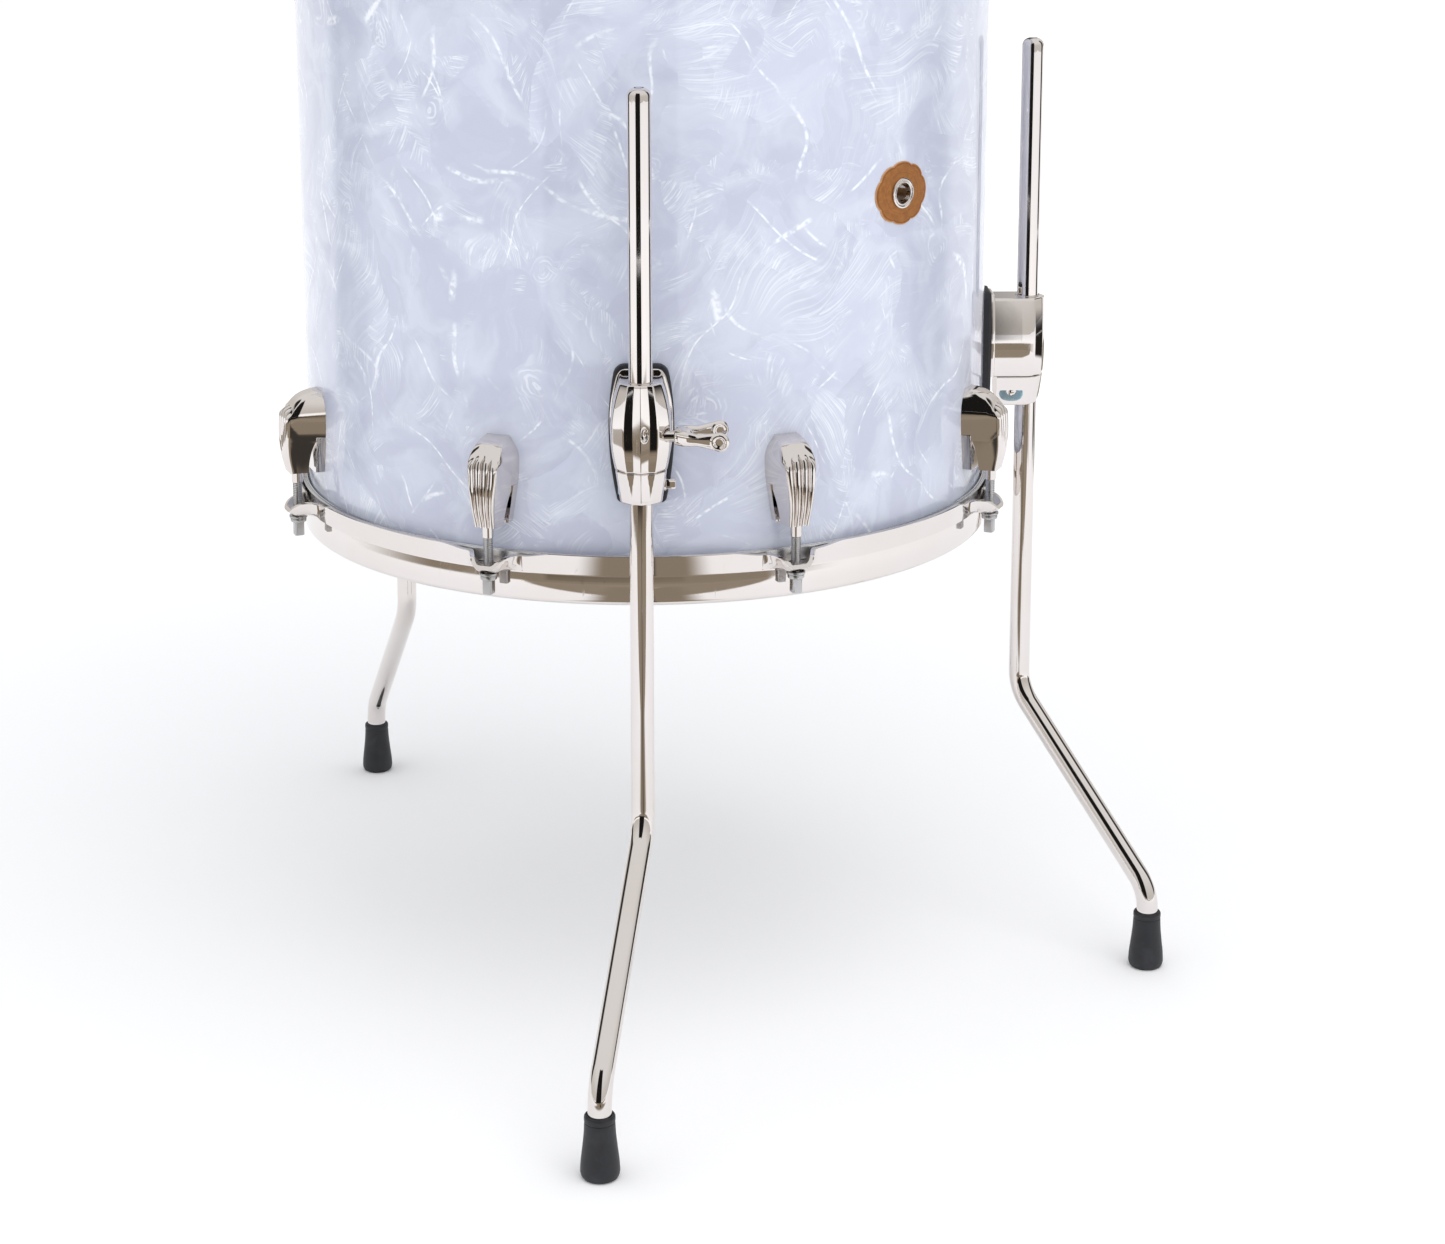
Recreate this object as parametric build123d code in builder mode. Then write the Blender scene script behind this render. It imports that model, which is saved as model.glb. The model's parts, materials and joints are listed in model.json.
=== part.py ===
from build123d import *
import os
from math import cos, radians, sin

# Floor tom: a wrapped wooden shell with two heads and hoops, eight lugs a side, and three bent legs in
# clamp brackets. Millimetres, +Z up, floor at Z = 0, origin under the middle of the whole footprint.
# Azimuths are degrees about the drum's axis: 0 faces -Y, and they grow towards +X.

# Where the drum's axis stands, so that the feet and the hoop's ears lie evenly about the origin
drum_x = -50.6
drum_y = 35.4

# Shell
shell_radius = 203.2  # over the wrap, a 16 in drum
shell_depth = 406.4
shell_middle = 484.0  # height of its middle above the floor
wrap_thickness = 0.5
wall_thickness = 6.4
bearing_flat = 1.2
running_gap = 0.3  # between bodies that come apart

# Tension: eight lugs a side
lug_count = 8
first_lug = 22.5
rod_circle = 217.5  # radius of the circle of tension rods
rod_radius = 2.75
nut_radius = 3.25
rod_fit = 0.08
screw_fit = 0.06

# Legs and brackets
leg_axis = 230.5  # from the drum's axis to a leg's upright
leg_radius = 6.35
leg_top = 553.0
leg_bend = 150.0  # height of the upper bend
leg_knee = 48.0
leg_splay = 106.0  # sideways from the upright to the foot
bend_radius = 28.0
leg_fit = 0.06
foot_height = 35.0
leg_end = 12.0  # how far the rod stops above the floor, inside its foot
legs = {"front": (0, -12), "right": (90, 42), "back": (225, 198.5)}  # bracket azimuth, foot azimuth
wing_turns = {"front": 4, "right": 62, "back": 28}  # how each wing bolt happens to stand

# Heights worked out from the shell; the resonant side is made first and mirrored for the batter side
edge_height = shell_middle - shell_depth / 2
core_radius = shell_radius - wrap_thickness
inner_radius = core_radius - wall_thickness
drum_axis = Axis((drum_x, drum_y, 0), (0, 0, 1))
middle_plane = Plane.XY.offset(shell_middle)
section_plane = Plane(origin=(drum_x, drum_y, 0), x_dir=(1, 0, 0), z_dir=(0, -1, 0))
# A piece that repeats is drawn about the Z axis facing azimuth 0, on these planes, and placed by turned()
profile_plane = Plane(origin=(0, 0, 0), x_dir=(0, -1, 0), z_dir=(-1, 0, 0))  # outwards, up


def facing(distance):
    """Upright plane at a distance from the drum's axis, looking outwards: x to the right, y up."""
    return Plane(origin=(0, -distance, 0), x_dir=(1, 0, 0), z_dir=(0, -1, 0))


def looking_down(height):
    """Level plane whose x is to the right and whose y is outwards; its normal points down."""
    return Plane(origin=(0, 0, height), x_dir=(1, 0, 0), z_dir=(0, 0, -1))


def turned(azimuth):
    """The drum's own plane, turned to an azimuth."""
    across = (cos(radians(azimuth)), sin(radians(azimuth)), 0)
    return Plane(origin=(drum_x, drum_y, 0), x_dir=across, z_dir=(0, 0, 1))


def barrel_face(plane, low, widest, high, corner):
    """Upright outline with bowed sides, from its lower, widest and upper right-hand points."""
    with BuildSketch(plane, mode=Mode.PRIVATE) as outline:
        with BuildLine():
            ThreePointArc(low, widest, high)
            ThreePointArc((-low[0], low[1]), (-widest[0], widest[1]), (-high[0], high[1]))
            Line((-high[0], high[1]), high)
            Line((-low[0], low[1]), low)
        make_face()
        fillet(outline.vertices().group_by(Axis.Y)[-1], corner)
    return outline.sketch


def keep(made, name):
    """Labels a finished piece and writes its file."""
    made.part.label = name
    export_step(made.part, f"parts/{name}.step")


os.makedirs("parts", exist_ok=True)

# ---------------------------------------------------------------- shell, wrap, badge and vent
lug_screw_heights = [335.5, 350.5]
lug_screw_radius = 2.5
bracket_screw_heights = [359.0, 389.0]
bracket_screw_radius = 3.0
screw_clearance = 0.3
vent_azimuth = 44.5
vent_radius = 5.75
grommet_wall = 0.75
badge_half_width = 21.0
badge_half_height = 17.5
badge_thickness = 0.6
skin_gap = 0.02
drill_start = inner_radius - 5
drill_length = 15.0

with BuildPart() as lug_drilling:
    with BuildSketch(facing(drill_start)):
        for height in lug_screw_heights:
            with Locations((0, height), (0, 2 * shell_middle - height)):
                Circle(lug_screw_radius + screw_clearance)
    extrude(amount=drill_length)

with BuildPart() as bracket_drilling:
    with BuildSketch(facing(drill_start)):
        for height in bracket_screw_heights:
            with Locations((0, height)):
                Circle(bracket_screw_radius + screw_clearance)
    extrude(amount=drill_length)

with BuildPart() as vent_drilling:
    with BuildSketch(facing(drill_start)):
        with Locations((0, shell_middle)):
            Circle(vent_radius + grommet_wall + screw_clearance)
    extrude(amount=drill_length)

# Every hole through shell and wrap, as one set of plugs
with BuildPart(turned(0)) as drilling:
    with PolarLocations(0, lug_count, start_angle=first_lug):
        add(lug_drilling.part)
    for bracket_azimuth, _ in legs.values():
        with PolarLocations(0, 1, start_angle=bracket_azimuth):
            add(bracket_drilling.part)
    with PolarLocations(0, 1, start_angle=vent_azimuth):
        add(vent_drilling.part)

bevel_outside = 1.6
bevel_inside = wall_thickness - bevel_outside - bearing_flat
with BuildPart() as shell:
    # A bearing edge is a narrow flat with a steep bevel inside and a small round-over outside
    with BuildSketch(section_plane) as shell_section:
        with Locations(((core_radius + inner_radius) / 2, shell_middle)):
            Rectangle(wall_thickness, shell_depth)
        outer_corners = shell_section.vertices().group_by(Axis.X)[-1]
        chamfer(outer_corners, bevel_outside)
        inner_corners = shell_section.vertices().group_by(Axis.X)[0]
        chamfer(inner_corners, bevel_inside)
    revolve(axis=drum_axis)
    add(drilling.part, mode=Mode.SUBTRACT)

wrap_margin = 4.0
with BuildPart() as pearl_wrap:
    with BuildSketch(section_plane):
        with Locations((shell_radius, shell_middle)):
            wrap_height = shell_depth - 2 * wrap_margin
            Rectangle(wrap_thickness - skin_gap, wrap_height, align=(Align.MAX, Align.CENTER))
    revolve(axis=drum_axis)
    add(drilling.part, mode=Mode.SUBTRACT)

side_lobe = 8.5
end_lobe = 10.0
corner_lobe = 6.0
with BuildPart() as badge_blank:
    # An oval plate with a scalloped edge: four broad lobes and four small ones on its diagonals
    with BuildSketch(facing(shell_radius - 2)):
        with Locations((0, shell_middle)):
            Ellipse(0.82 * badge_half_width, 0.82 * badge_half_height)
            with GridLocations(2 * (badge_half_width - side_lobe), 0, 2, 1):
                Circle(side_lobe)
            with GridLocations(0, 2 * (badge_half_height - end_lobe), 1, 2):
                Circle(end_lobe)
            with GridLocations(1.07 * badge_half_width, 0.94 * badge_half_height, 2, 2):
                Circle(corner_lobe)
            Circle(vent_radius + grommet_wall + screw_clearance, mode=Mode.SUBTRACT)
    extrude(amount=4)
    with Locations((0, 0, shell_middle)):
        Cylinder(shell_radius + skin_gap + badge_thickness, 3 * badge_half_width, mode=Mode.INTERSECT)
        Cylinder(shell_radius + skin_gap, 3 * badge_half_width, mode=Mode.SUBTRACT)

with BuildPart(turned(vent_azimuth)) as badge:
    add(badge_blank.part)

grommet_flange = 8.5
grommet_lip = 1.1
inner_sagitta = grommet_flange**2 / (2 * inner_radius)
with BuildPart() as grommet_blank:
    outer_face = shell_radius + badge_thickness + 2 * skin_gap
    inner_face = inner_radius - inner_sagitta - skin_gap
    with BuildSketch(facing(inner_face - grommet_lip)):
        with Locations((0, shell_middle)):
            Circle(grommet_flange)
    extrude(amount=grommet_lip)
    with BuildSketch(facing(inner_face - grommet_lip)):
        with Locations((0, shell_middle)):
            Circle(vent_radius + grommet_wall)
    extrude(amount=outer_face + grommet_lip - inner_face + grommet_lip)
    with BuildSketch(facing(outer_face)):
        with Locations((0, shell_middle)):
            Circle(grommet_flange)
    extrude(amount=grommet_lip)
    fillet(grommet_blank.faces().sort_by(Axis.Y)[0].edges(), 0.5)
    with BuildSketch(facing(inner_face - 3)):
        with Locations((0, shell_middle)):
            Circle(vent_radius)
    extrude(amount=16, mode=Mode.SUBTRACT)

with BuildPart(turned(vent_azimuth)) as vent_grommet:
    add(grommet_blank.part)

# ---------------------------------------------------------------- lugs, their nuts, screws and washers
lug_low = 312.0
lug_high = 359.5
lug_front = 226.5
lug_foot_front = 222.6
lug_barrel_back = 212.4
lug_flange = 2.0
lug_wall = 2.6
lug_boss_front = 212.5
lug_base = [(6.5, lug_high), (12.0, 352.0), (12.0, 338.0), (8.0, lug_low - 0.5)]
lug_face = [(6.5, 357.0), (8.8, 352.0), (8.2, 338.0), (5.6, lug_low - 0.5)]
nut_low = 305.6
nut_high = 347.0
nut_collar_radius = 4.2
nut_collar_height = 3.0


def symmetric(right_points):
    """A closed outline from its right-hand points, listed from the top down."""
    return right_points + [(-x, y) for x, y in reversed(right_points)]


with BuildPart() as lug_blank:
    with BuildSketch(facing(shell_radius - 1)):
        Polygon(*symmetric(lug_base), align=None)
    with BuildSketch(facing(lug_front + 1)):
        Polygon(*symmetric(lug_face), align=None)
    loft(ruled=True)
    # Side view: a dome at the top, a barrel round the nut below, and a quarter-round arch behind the barrel
    with BuildSketch(profile_plane):
        with BuildLine():
            Line((shell_radius - 2, lug_high), (214, lug_high - 0.5))
            ThreePointArc((214, lug_high - 0.5), (222.5, 354.5), (lug_front, 344))
            Line((lug_front, 344), (lug_foot_front, lug_low))
            Line((lug_foot_front, lug_low), (lug_barrel_back, lug_low))
            RadiusArc((lug_barrel_back, lug_low), (shell_radius + lug_flange, 331), 24, short_sagitta=True)
            Line((shell_radius + lug_flange, 331), (shell_radius + lug_flange, lug_low))
            Line((shell_radius + lug_flange, lug_low), (shell_radius - 2, lug_low))
            Line((shell_radius - 2, lug_low), (shell_radius - 2, lug_high))
        make_face()
    extrude(amount=15, both=True, mode=Mode.INTERSECT)
    # Hollow behind the face, with two bridges left across it for the screws
    with BuildSketch(facing(shell_radius - 2)):
        Polygon(*symmetric([(4.5, 355.5), (8.0, 351.0), (8.0, 339.0), (4.4, lug_low + lug_wall)]), align=None)
    extrude(amount=lug_front - lug_wall - shell_radius + 2, mode=Mode.SUBTRACT)
    with BuildSketch(facing(shell_radius - 1)):
        for height in lug_screw_heights:
            with Locations((0, height)):
                Rectangle(17, 8)
    extrude(amount=lug_boss_front - shell_radius + 1)
    with BuildSketch(facing(shell_radius - 2)):
        for height in lug_screw_heights:
            with Locations((0, height)):
                Circle(lug_screw_radius + screw_fit)
    extrude(amount=14, mode=Mode.SUBTRACT)
    with Locations((0, -rod_circle, lug_low)):
        Cylinder(nut_radius + 0.1, 12, mode=Mode.SUBTRACT)
    with Locations((0, 0, (lug_low + lug_high) / 2)):
        Cylinder(shell_radius + skin_gap, 60, mode=Mode.SUBTRACT)

with BuildPart(turned(first_lug)) as lower_lugs:
    with PolarLocations(0, lug_count):
        add(lug_blank.part)

with BuildPart() as upper_lugs:
    mirror(lower_lugs.part, about=middle_plane)

with BuildPart() as nut_blank:
    with Locations((0, -rod_circle, (nut_low + nut_high) / 2)):
        Cylinder(nut_radius, nut_high - nut_low)
    with Locations((0, -rod_circle, lug_low + lug_wall + skin_gap + nut_collar_height / 2)):
        Cylinder(nut_collar_radius, nut_collar_height)
    with Locations((0, -rod_circle, (nut_low + nut_high) / 2)):
        Cylinder(rod_radius + rod_fit, nut_high - nut_low + 1, mode=Mode.SUBTRACT)

with BuildPart(turned(first_lug)) as lug_nuts:
    with PolarLocations(0, lug_count):
        add(nut_blank.part)
    mirror(about=middle_plane)

washer_radius = 6.5
washer_thickness = 1.2
washer_face = inner_radius - washer_radius**2 / (2 * inner_radius) - skin_gap
head_face = washer_face - washer_thickness - skin_gap


def washers_at(heights, hole):
    """Washers flat against the inside of the shell, at each height."""
    with BuildPart(mode=Mode.PRIVATE) as made:
        with BuildSketch(facing(washer_face - washer_thickness)):
            for height in heights:
                with Locations((0, height)):
                    Circle(washer_radius)
                    Circle(hole, mode=Mode.SUBTRACT)
        extrude(amount=washer_thickness)
    return made.part


def screws_at(heights, shank, head, reach):
    """Round-headed screws driven outwards from inside the shell, at each height."""
    with BuildPart(mode=Mode.PRIVATE) as made:
        with BuildSketch(facing(head_face)):
            for height in heights:
                with Locations((0, height)):
                    Circle(shank)
        extrude(amount=reach - head_face)
        with BuildSketch(facing(head_face - 0.6 * head)):
            for height in heights:
                with Locations((0, height)):
                    Circle(head)
        extrude(amount=0.6 * head)
        fillet(made.faces().filter_by(GeomType.PLANE).group_by(Axis.Y)[-1].edges(), 0.3 * head)
    return made.part


lug_screw_head = 4.6
screws_of_a_lug = screws_at(lug_screw_heights, lug_screw_radius, lug_screw_head, lug_boss_front - 1)
with BuildPart(turned(first_lug)) as lug_screws:
    with PolarLocations(0, lug_count):
        add(screws_of_a_lug)
    mirror(about=middle_plane)

washers_of_a_lug = washers_at(lug_screw_heights, lug_screw_radius + 0.2)
with BuildPart(turned(first_lug)) as lug_washers:
    with PolarLocations(0, lug_count):
        add(washers_of_a_lug)
    mirror(about=middle_plane)

# ---------------------------------------------------------------- leg brackets
gasket_face = 207.5
gasket_low = (12.5, 326.0)
gasket_wide = (17.0, 368.0)
gasket_high = (13.0, 402.0)
flange_face = 209.6
housing_low = 350.5
housing_high = 398.0
housing_front = 241.2
wing_axis = 233.5
wing_height = 369.5
shaft_radius = 3.0
shoe_depth = 3.0
shoe_half_height = 5.5
shoe_seat = 9.6  # from the bracket's middle plane to the back of the clamp shoe
key_half_width = 2.8
key_height = 3.0
key_low, key_high = 212.0, 216.0

with BuildPart() as gasket_blank:
    gasket_outline = barrel_face(facing(shell_radius - 2), gasket_low, gasket_wide, gasket_high, 4)
    extrude(gasket_outline, amount=gasket_face - shell_radius + 2)
    with BuildSketch(facing(shell_radius - 2)):
        for height in bracket_screw_heights:
            with Locations((0, height)):
                Circle(bracket_screw_radius + screw_clearance)
    extrude(amount=10, mode=Mode.SUBTRACT)
    with Locations((0, 0, (gasket_low[1] + gasket_high[1]) / 2)):
        Cylinder(shell_radius + skin_gap, 100, mode=Mode.SUBTRACT)

with BuildPart(turned(0)) as bracket_gaskets:
    for bracket_azimuth, _ in legs.values():
        with PolarLocations(0, 1, start_angle=bracket_azimuth):
            add(gasket_blank.part)

with BuildPart() as housing_blank:
    body_back = facing(gasket_face + skin_gap)
    body_face = barrel_face(body_back, (12.5, housing_low), (15.0, 371), (11.0, housing_high), 1)
    extrude(body_face, amount=housing_front - gasket_face)
    # Seen from above, the front is five flats round the leg
    with BuildSketch(looking_down(housing_high + 1)):
        housing_flats = [(0.01, housing_front), (7.0, 240.0), (12.6, 237.0), (15.5, 233.0), (15.5, 205.0)]
        Polygon(*symmetric(housing_flats), align=None)
    extrude(amount=housing_high - housing_low + 2, mode=Mode.INTERSECT)
    flange_outline = barrel_face(body_back, (13.4, housing_low), (15.4, 371), (11.6, 399.5), 3)
    extrude(flange_outline, amount=flange_face - gasket_face)
    # Weight-saving pocket behind the leg
    with BuildSketch(facing(gasket_face - 1)):
        with Locations((0, sum(bracket_screw_heights) / 2)):
            RectangleRounded(20, 17, 2)
    extrude(amount=14, mode=Mode.SUBTRACT)
    with BuildSketch(facing(gasket_face - 1)):
        for height in bracket_screw_heights:
            with Locations((0, height)):
                Circle(bracket_screw_radius + screw_fit)
    extrude(amount=14.5, mode=Mode.SUBTRACT)
    with Locations((0, -leg_axis, housing_low + 24)):
        Cylinder(leg_radius + leg_fit, 60, mode=Mode.SUBTRACT)
    # Pocket for the clamp shoe beside the leg, and the wing bolt's hole into it
    shoe_low, shoe_high = wing_axis - 4.0, wing_axis + 2.9
    with BuildSketch(looking_down(wing_height + shoe_half_height + 0.15)):
        with Locations((shoe_seat / 2, (shoe_low + shoe_high) / 2)):
            Rectangle(shoe_seat, shoe_high - shoe_low + 0.3)
    extrude(amount=2 * shoe_half_height + 0.3, mode=Mode.SUBTRACT)
    with BuildSketch(Plane(origin=(0, -wing_axis, wing_height), x_dir=(0, 0, 1), z_dir=(1, 0, 0))):
        Circle(shaft_radius + rod_fit)
    extrude(amount=20, mode=Mode.SUBTRACT)
    # Slot for the memory lock's key
    with BuildSketch(looking_down(housing_low + key_height + 0.6)):
        with Locations((0, (key_low + key_high) / 2)):
            Rectangle(2 * key_half_width + 0.8, key_high - key_low + 0.8)
    extrude(amount=10, mode=Mode.SUBTRACT)

with BuildPart() as shoe_blank:
    with BuildSketch(looking_down(wing_height + shoe_half_height)):
        with Locations((shoe_seat / 2, (shoe_low + shoe_high) / 2)):
            Rectangle(shoe_seat - 0.2, shoe_high - shoe_low)
        with Locations((0, leg_axis)):
            Circle(leg_radius + leg_fit, mode=Mode.SUBTRACT)
        with Locations((0, shoe_high)):
            Rectangle(7.6, 2 * shoe_depth, mode=Mode.SUBTRACT)
    extrude(amount=2 * shoe_half_height)

with BuildPart(turned(0)) as clamp_shoes:
    for bracket_azimuth, _ in legs.values():
        with PolarLocations(0, 1, start_angle=bracket_azimuth):
            add(shoe_blank.part)

bracket_screw_head = 5.2
bracket_screw_end = gasket_face + 12
screws_of_a_bracket = screws_at(bracket_screw_heights, bracket_screw_radius, bracket_screw_head, bracket_screw_end)
with BuildPart(turned(0)) as bracket_screws:
    for bracket_azimuth, _ in legs.values():
        with PolarLocations(0, 1, start_angle=bracket_azimuth):
            add(screws_of_a_bracket)

washers_of_a_bracket = washers_at(bracket_screw_heights, bracket_screw_radius + 0.2)
with BuildPart(turned(0)) as bracket_washers:
    for bracket_azimuth, _ in legs.values():
        with PolarLocations(0, 1, start_angle=bracket_azimuth):
            add(washers_of_a_bracket)

# ---------------------------------------------------------------- wing bolt, drawn with its wings level
hub_start = 18.0  # from the bracket's middle plane
hub_end = 27.0
wing_tip = 46.5
wing_spread = 14.0
wing_thickness = 3.6
wing_breadth = 10.6
hub_radius = 4.8

with BuildPart() as wing_blank:
    with BuildSketch(looking_down(wing_height - wing_breadth / 2)):
        # Two wings swept out along the bolt, as a thick open V
        with BuildLine():
            Polyline(
                (hub_start + 1, wing_axis),
                (hub_start + 2, wing_axis + 6.5),
                (wing_tip - 5, wing_axis + wing_spread),
                (wing_tip, wing_axis + wing_spread - 1),
                (wing_tip - 1.5, wing_axis + wing_spread - wing_thickness - 1),
                (hub_end, wing_axis + 4.5),
                (hub_end, wing_axis),
            )
            mirror(about=Plane.XZ.offset(-wing_axis))
        make_face()
    extrude(amount=-wing_breadth)
    # Each wing is narrow beside the hub and ends in a round tab
    with BuildSketch(facing(wing_axis - wing_spread - 2)):
        with Locations((wing_tip - wing_breadth / 2, wing_height)):
            Circle(wing_breadth / 2)
        Polygon(
            (hub_start, wing_height - 5),
            (hub_end - 2, wing_height - 4),
            (wing_tip - wing_breadth / 2, wing_height - wing_breadth / 2),
            (wing_tip - wing_breadth / 2, wing_height + wing_breadth / 2),
            (hub_end - 2, wing_height + 4),
            (hub_start, wing_height + 5),
            align=None,
        )
    extrude(amount=2 * wing_spread + 4, mode=Mode.INTERSECT)
    bolt_plane = Plane(origin=(shoe_seat + 0.1, -wing_axis, wing_height), x_dir=(0, 0, 1), z_dir=(1, 0, 0))
    with BuildSketch(bolt_plane):
        Circle(shaft_radius)
    extrude(amount=hub_start - shoe_seat + 2)
    with BuildSketch(bolt_plane.offset(hub_start - shoe_seat - 0.1)):
        Circle(hub_radius)
    extrude(amount=hub_end - hub_start)

# ---------------------------------------------------------------- memory lock, its nut and its key screw
lock_low = 332.0
lock_high = housing_low - running_gap
lock_back = 211.5
lock_screw_axis = 220.4
lock_screw_height = 340.5
lock_screw_radius = 2.0
lock_side = 11.2  # half width at the screw
lock_nut_length = 14.4
lock_nut_height = 10.8
lock_nut_inner = -7.6
key_head_start = 11.95
key_head_radius = 4.0
key_flange = 1.2
key_square = 5.6
key_square_length = 5.0

with BuildPart() as lock_blank:
    with BuildSketch(facing(lock_back)):
        Polygon(*symmetric([(12.5, lock_high), (10.2, lock_low)]), align=None)
    extrude(amount=housing_front - lock_back)
    with BuildSketch(profile_plane):
        Polygon(
            (lock_back, lock_high),
            (240.5, lock_high),
            (239.0, 341.0),
            (235.0, lock_low),
            (lock_back + 3, lock_low),
            (lock_back, lock_low + 4),
            align=None,
        )
    extrude(amount=15, both=True, mode=Mode.INTERSECT)
    with BuildSketch(looking_down(lock_high + 1)):
        lock_flats = [(0.01, housing_front), (6.0, 240.0), (10.8, 237.0), (13.0, 233.0), (13.0, 205.0)]
        Polygon(*symmetric(lock_flats), align=None)
    extrude(amount=lock_high - lock_low + 2, mode=Mode.INTERSECT)
    with BuildSketch(looking_down(lock_high + key_height)):
        with Locations((0, (key_low + key_high) / 2)):
            Rectangle(2 * key_half_width, key_high - key_low)
    extrude(amount=key_height + 2)
    with Locations((0, -leg_axis, lock_low + 9)):
        Cylinder(leg_radius + leg_fit, 40, mode=Mode.SUBTRACT)
    # Saw cut that lets the screw close the collar on the leg
    with BuildSketch(looking_down(lock_high + key_height + 1)):
        with Locations((0, (lock_back + leg_axis) / 2 - 1)):
            Rectangle(1.2, leg_axis - lock_back)
    extrude(amount=30, mode=Mode.SUBTRACT)
    screw_plane = Plane(origin=(-15, -lock_screw_axis, lock_screw_height), x_dir=(0, -1, 0), z_dir=(1, 0, 0))
    with BuildSketch(screw_plane):
        Circle(lock_screw_radius + screw_fit)
    extrude(amount=30, mode=Mode.SUBTRACT)
    with BuildSketch(screw_plane):
        SlotOverall(lock_nut_length + 0.4, lock_nut_height + 0.4)
    extrude(amount=lock_nut_inner + 15, mode=Mode.SUBTRACT)

with BuildPart() as lock_nut_blank:
    with BuildSketch(screw_plane.offset(15 - lock_side + 0.4)):
        SlotOverall(lock_nut_length, lock_nut_height)
        Circle(lock_screw_radius + screw_fit, mode=Mode.SUBTRACT)
    extrude(amount=lock_side + lock_nut_inner - 0.45)

with BuildPart() as lock_screw_blank:
    with BuildSketch(screw_plane.offset(15 - lock_side)):
        Circle(lock_screw_radius)
    extrude(amount=lock_side + key_head_start + 0.2)
    with BuildSketch(screw_plane.offset(15 + key_head_start)):
        Circle(key_head_radius)
    extrude(amount=key_flange)
    with BuildSketch(screw_plane.offset(15 + key_head_start + key_flange)):
        RectangleRounded(key_square, key_square, 0.4)
    extrude(amount=key_square_length)

# ---------------------------------------------------------------- legs and rubber feet
with BuildPart() as leg_blank:
    with BuildLine(Plane(origin=(0, 0, 0), x_dir=(1, 0, 0), z_dir=(0, -1, 0))) as leg_path:
        leg_corners = [(0, leg_top), (0, leg_bend), (leg_splay, leg_knee), (leg_splay, leg_end)]
        FilletPolyline(*leg_corners, radius=bend_radius)
    with BuildSketch(Plane(origin=(0, 0, leg_top), x_dir=(1, 0, 0), z_dir=(0, 0, -1))):
        Circle(leg_radius)
    sweep(path=leg_path.line)
    fillet(leg_blank.faces().sort_by(Axis.Z)[-1].edges(), 4.5)

with BuildPart() as foot_blank:
    with BuildSketch(Plane(origin=(leg_splay, 0, 0), x_dir=(1, 0, 0), z_dir=(0, -1, 0))):
        with BuildLine():
            Line((0, 0), (7.5, 0))
            ThreePointArc((7.5, 0), (9.9, 1.6), (10.5, 5.0))
            foot_side = [(10.5, 5.0), (9.6, 14.0), (8.3, 24.0), (7.9, foot_height - 1.5)]
            Spline(*foot_side, tangents=[(-0.05, 1), (0, 1)])
            Line((7.9, foot_height - 1.5), (7.1, foot_height))
            Line((7.1, foot_height), (leg_radius + skin_gap, foot_height))
            Line((leg_radius + skin_gap, foot_height), (leg_radius + skin_gap, leg_end - skin_gap))
            Line((leg_radius + skin_gap, leg_end - skin_gap), (0, leg_end - skin_gap))
            Line((0, leg_end - skin_gap), (0, 0))
        make_face()
    revolve(axis=Axis((leg_splay, 0, 0), (0, 0, 1)))


def leg_plane(bracket_azimuth, foot_azimuth):
    """The plane of one leg: its origin under the upright, its x towards the foot."""
    upright = (
        drum_x + leg_axis * sin(radians(bracket_azimuth)),
        drum_y - leg_axis * cos(radians(bracket_azimuth)),
        0,
    )
    towards_foot = (sin(radians(foot_azimuth)), -cos(radians(foot_azimuth)), 0)
    return Plane(origin=upright, x_dir=towards_foot, z_dir=(0, 0, 1))


for side, (bracket_azimuth, foot_azimuth) in legs.items():
    with BuildPart(turned(bracket_azimuth)) as bracket:
        add(housing_blank.part)
    keep(bracket, f"{side}_bracket")

    with BuildPart(turned(bracket_azimuth)) as memory_lock:
        add(lock_blank.part)
    keep(memory_lock, f"{side}_memory_lock")

    with BuildPart(turned(bracket_azimuth)) as lock_nut:
        add(lock_nut_blank.part)
    keep(lock_nut, f"{side}_lock_nut")

    with BuildPart(turned(bracket_azimuth)) as lock_screw:
        add(lock_screw_blank.part)
    keep(lock_screw, f"{side}_lock_screw")

    with BuildPart(turned(bracket_azimuth)) as wing_bolt:
        add(wing_blank.part.rotate(Axis((0, -wing_axis, wing_height), (1, 0, 0)), wing_turns[side]))
    keep(wing_bolt, f"{side}_wing_bolt")

    with BuildPart(leg_plane(bracket_azimuth, foot_azimuth)) as leg:
        add(leg_blank.part)
    keep(leg, f"{side}_leg")

    with BuildPart(leg_plane(bracket_azimuth, foot_azimuth)) as foot:
        add(foot_blank.part)
    keep(foot, f"{side}_foot")

# ---------------------------------------------------------------- hoops, heads and tension rods
hoop_thickness = 2.3
rim_radius = 207.1  # outside of the free rim
band_radius = 210.0  # outside of the band beside the lugs
rim_free_edge = 268.0
ledge_low = 286.0  # the step between rim and band, which presses on the head
band_edge = 297.0
ear_reach = 224.6
ear_half_width = 12.5
ledge_high = ledge_low + hoop_thickness
film_thickness = 0.3
collar_radius = shell_radius + 0.4
head_ring_outer = 207.2
head_ring_thickness = 3.2
head_ring_height = 7.6

with BuildPart() as ear_gap:
    # The band dips in front of each rod
    with BuildSketch(facing(rim_radius - hoop_thickness + 0.2)):
        dip = [(ear_half_width + 1, band_edge + 1), (ear_half_width - 4, ledge_high + 1)]
        Polygon(*symmetric(dip), align=None)
    extrude(amount=8)

with BuildPart() as ear_plate:
    with BuildSketch(looking_down(ledge_high)) as ear_outline:
        with Locations((0, (rim_radius - 1 + ear_reach) / 2)):
            Rectangle(2 * ear_half_width, ear_reach - rim_radius + 1)
        fillet(ear_outline.vertices().group_by(Axis.Y)[-1], 6)
    extrude(amount=hoop_thickness)

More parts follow.
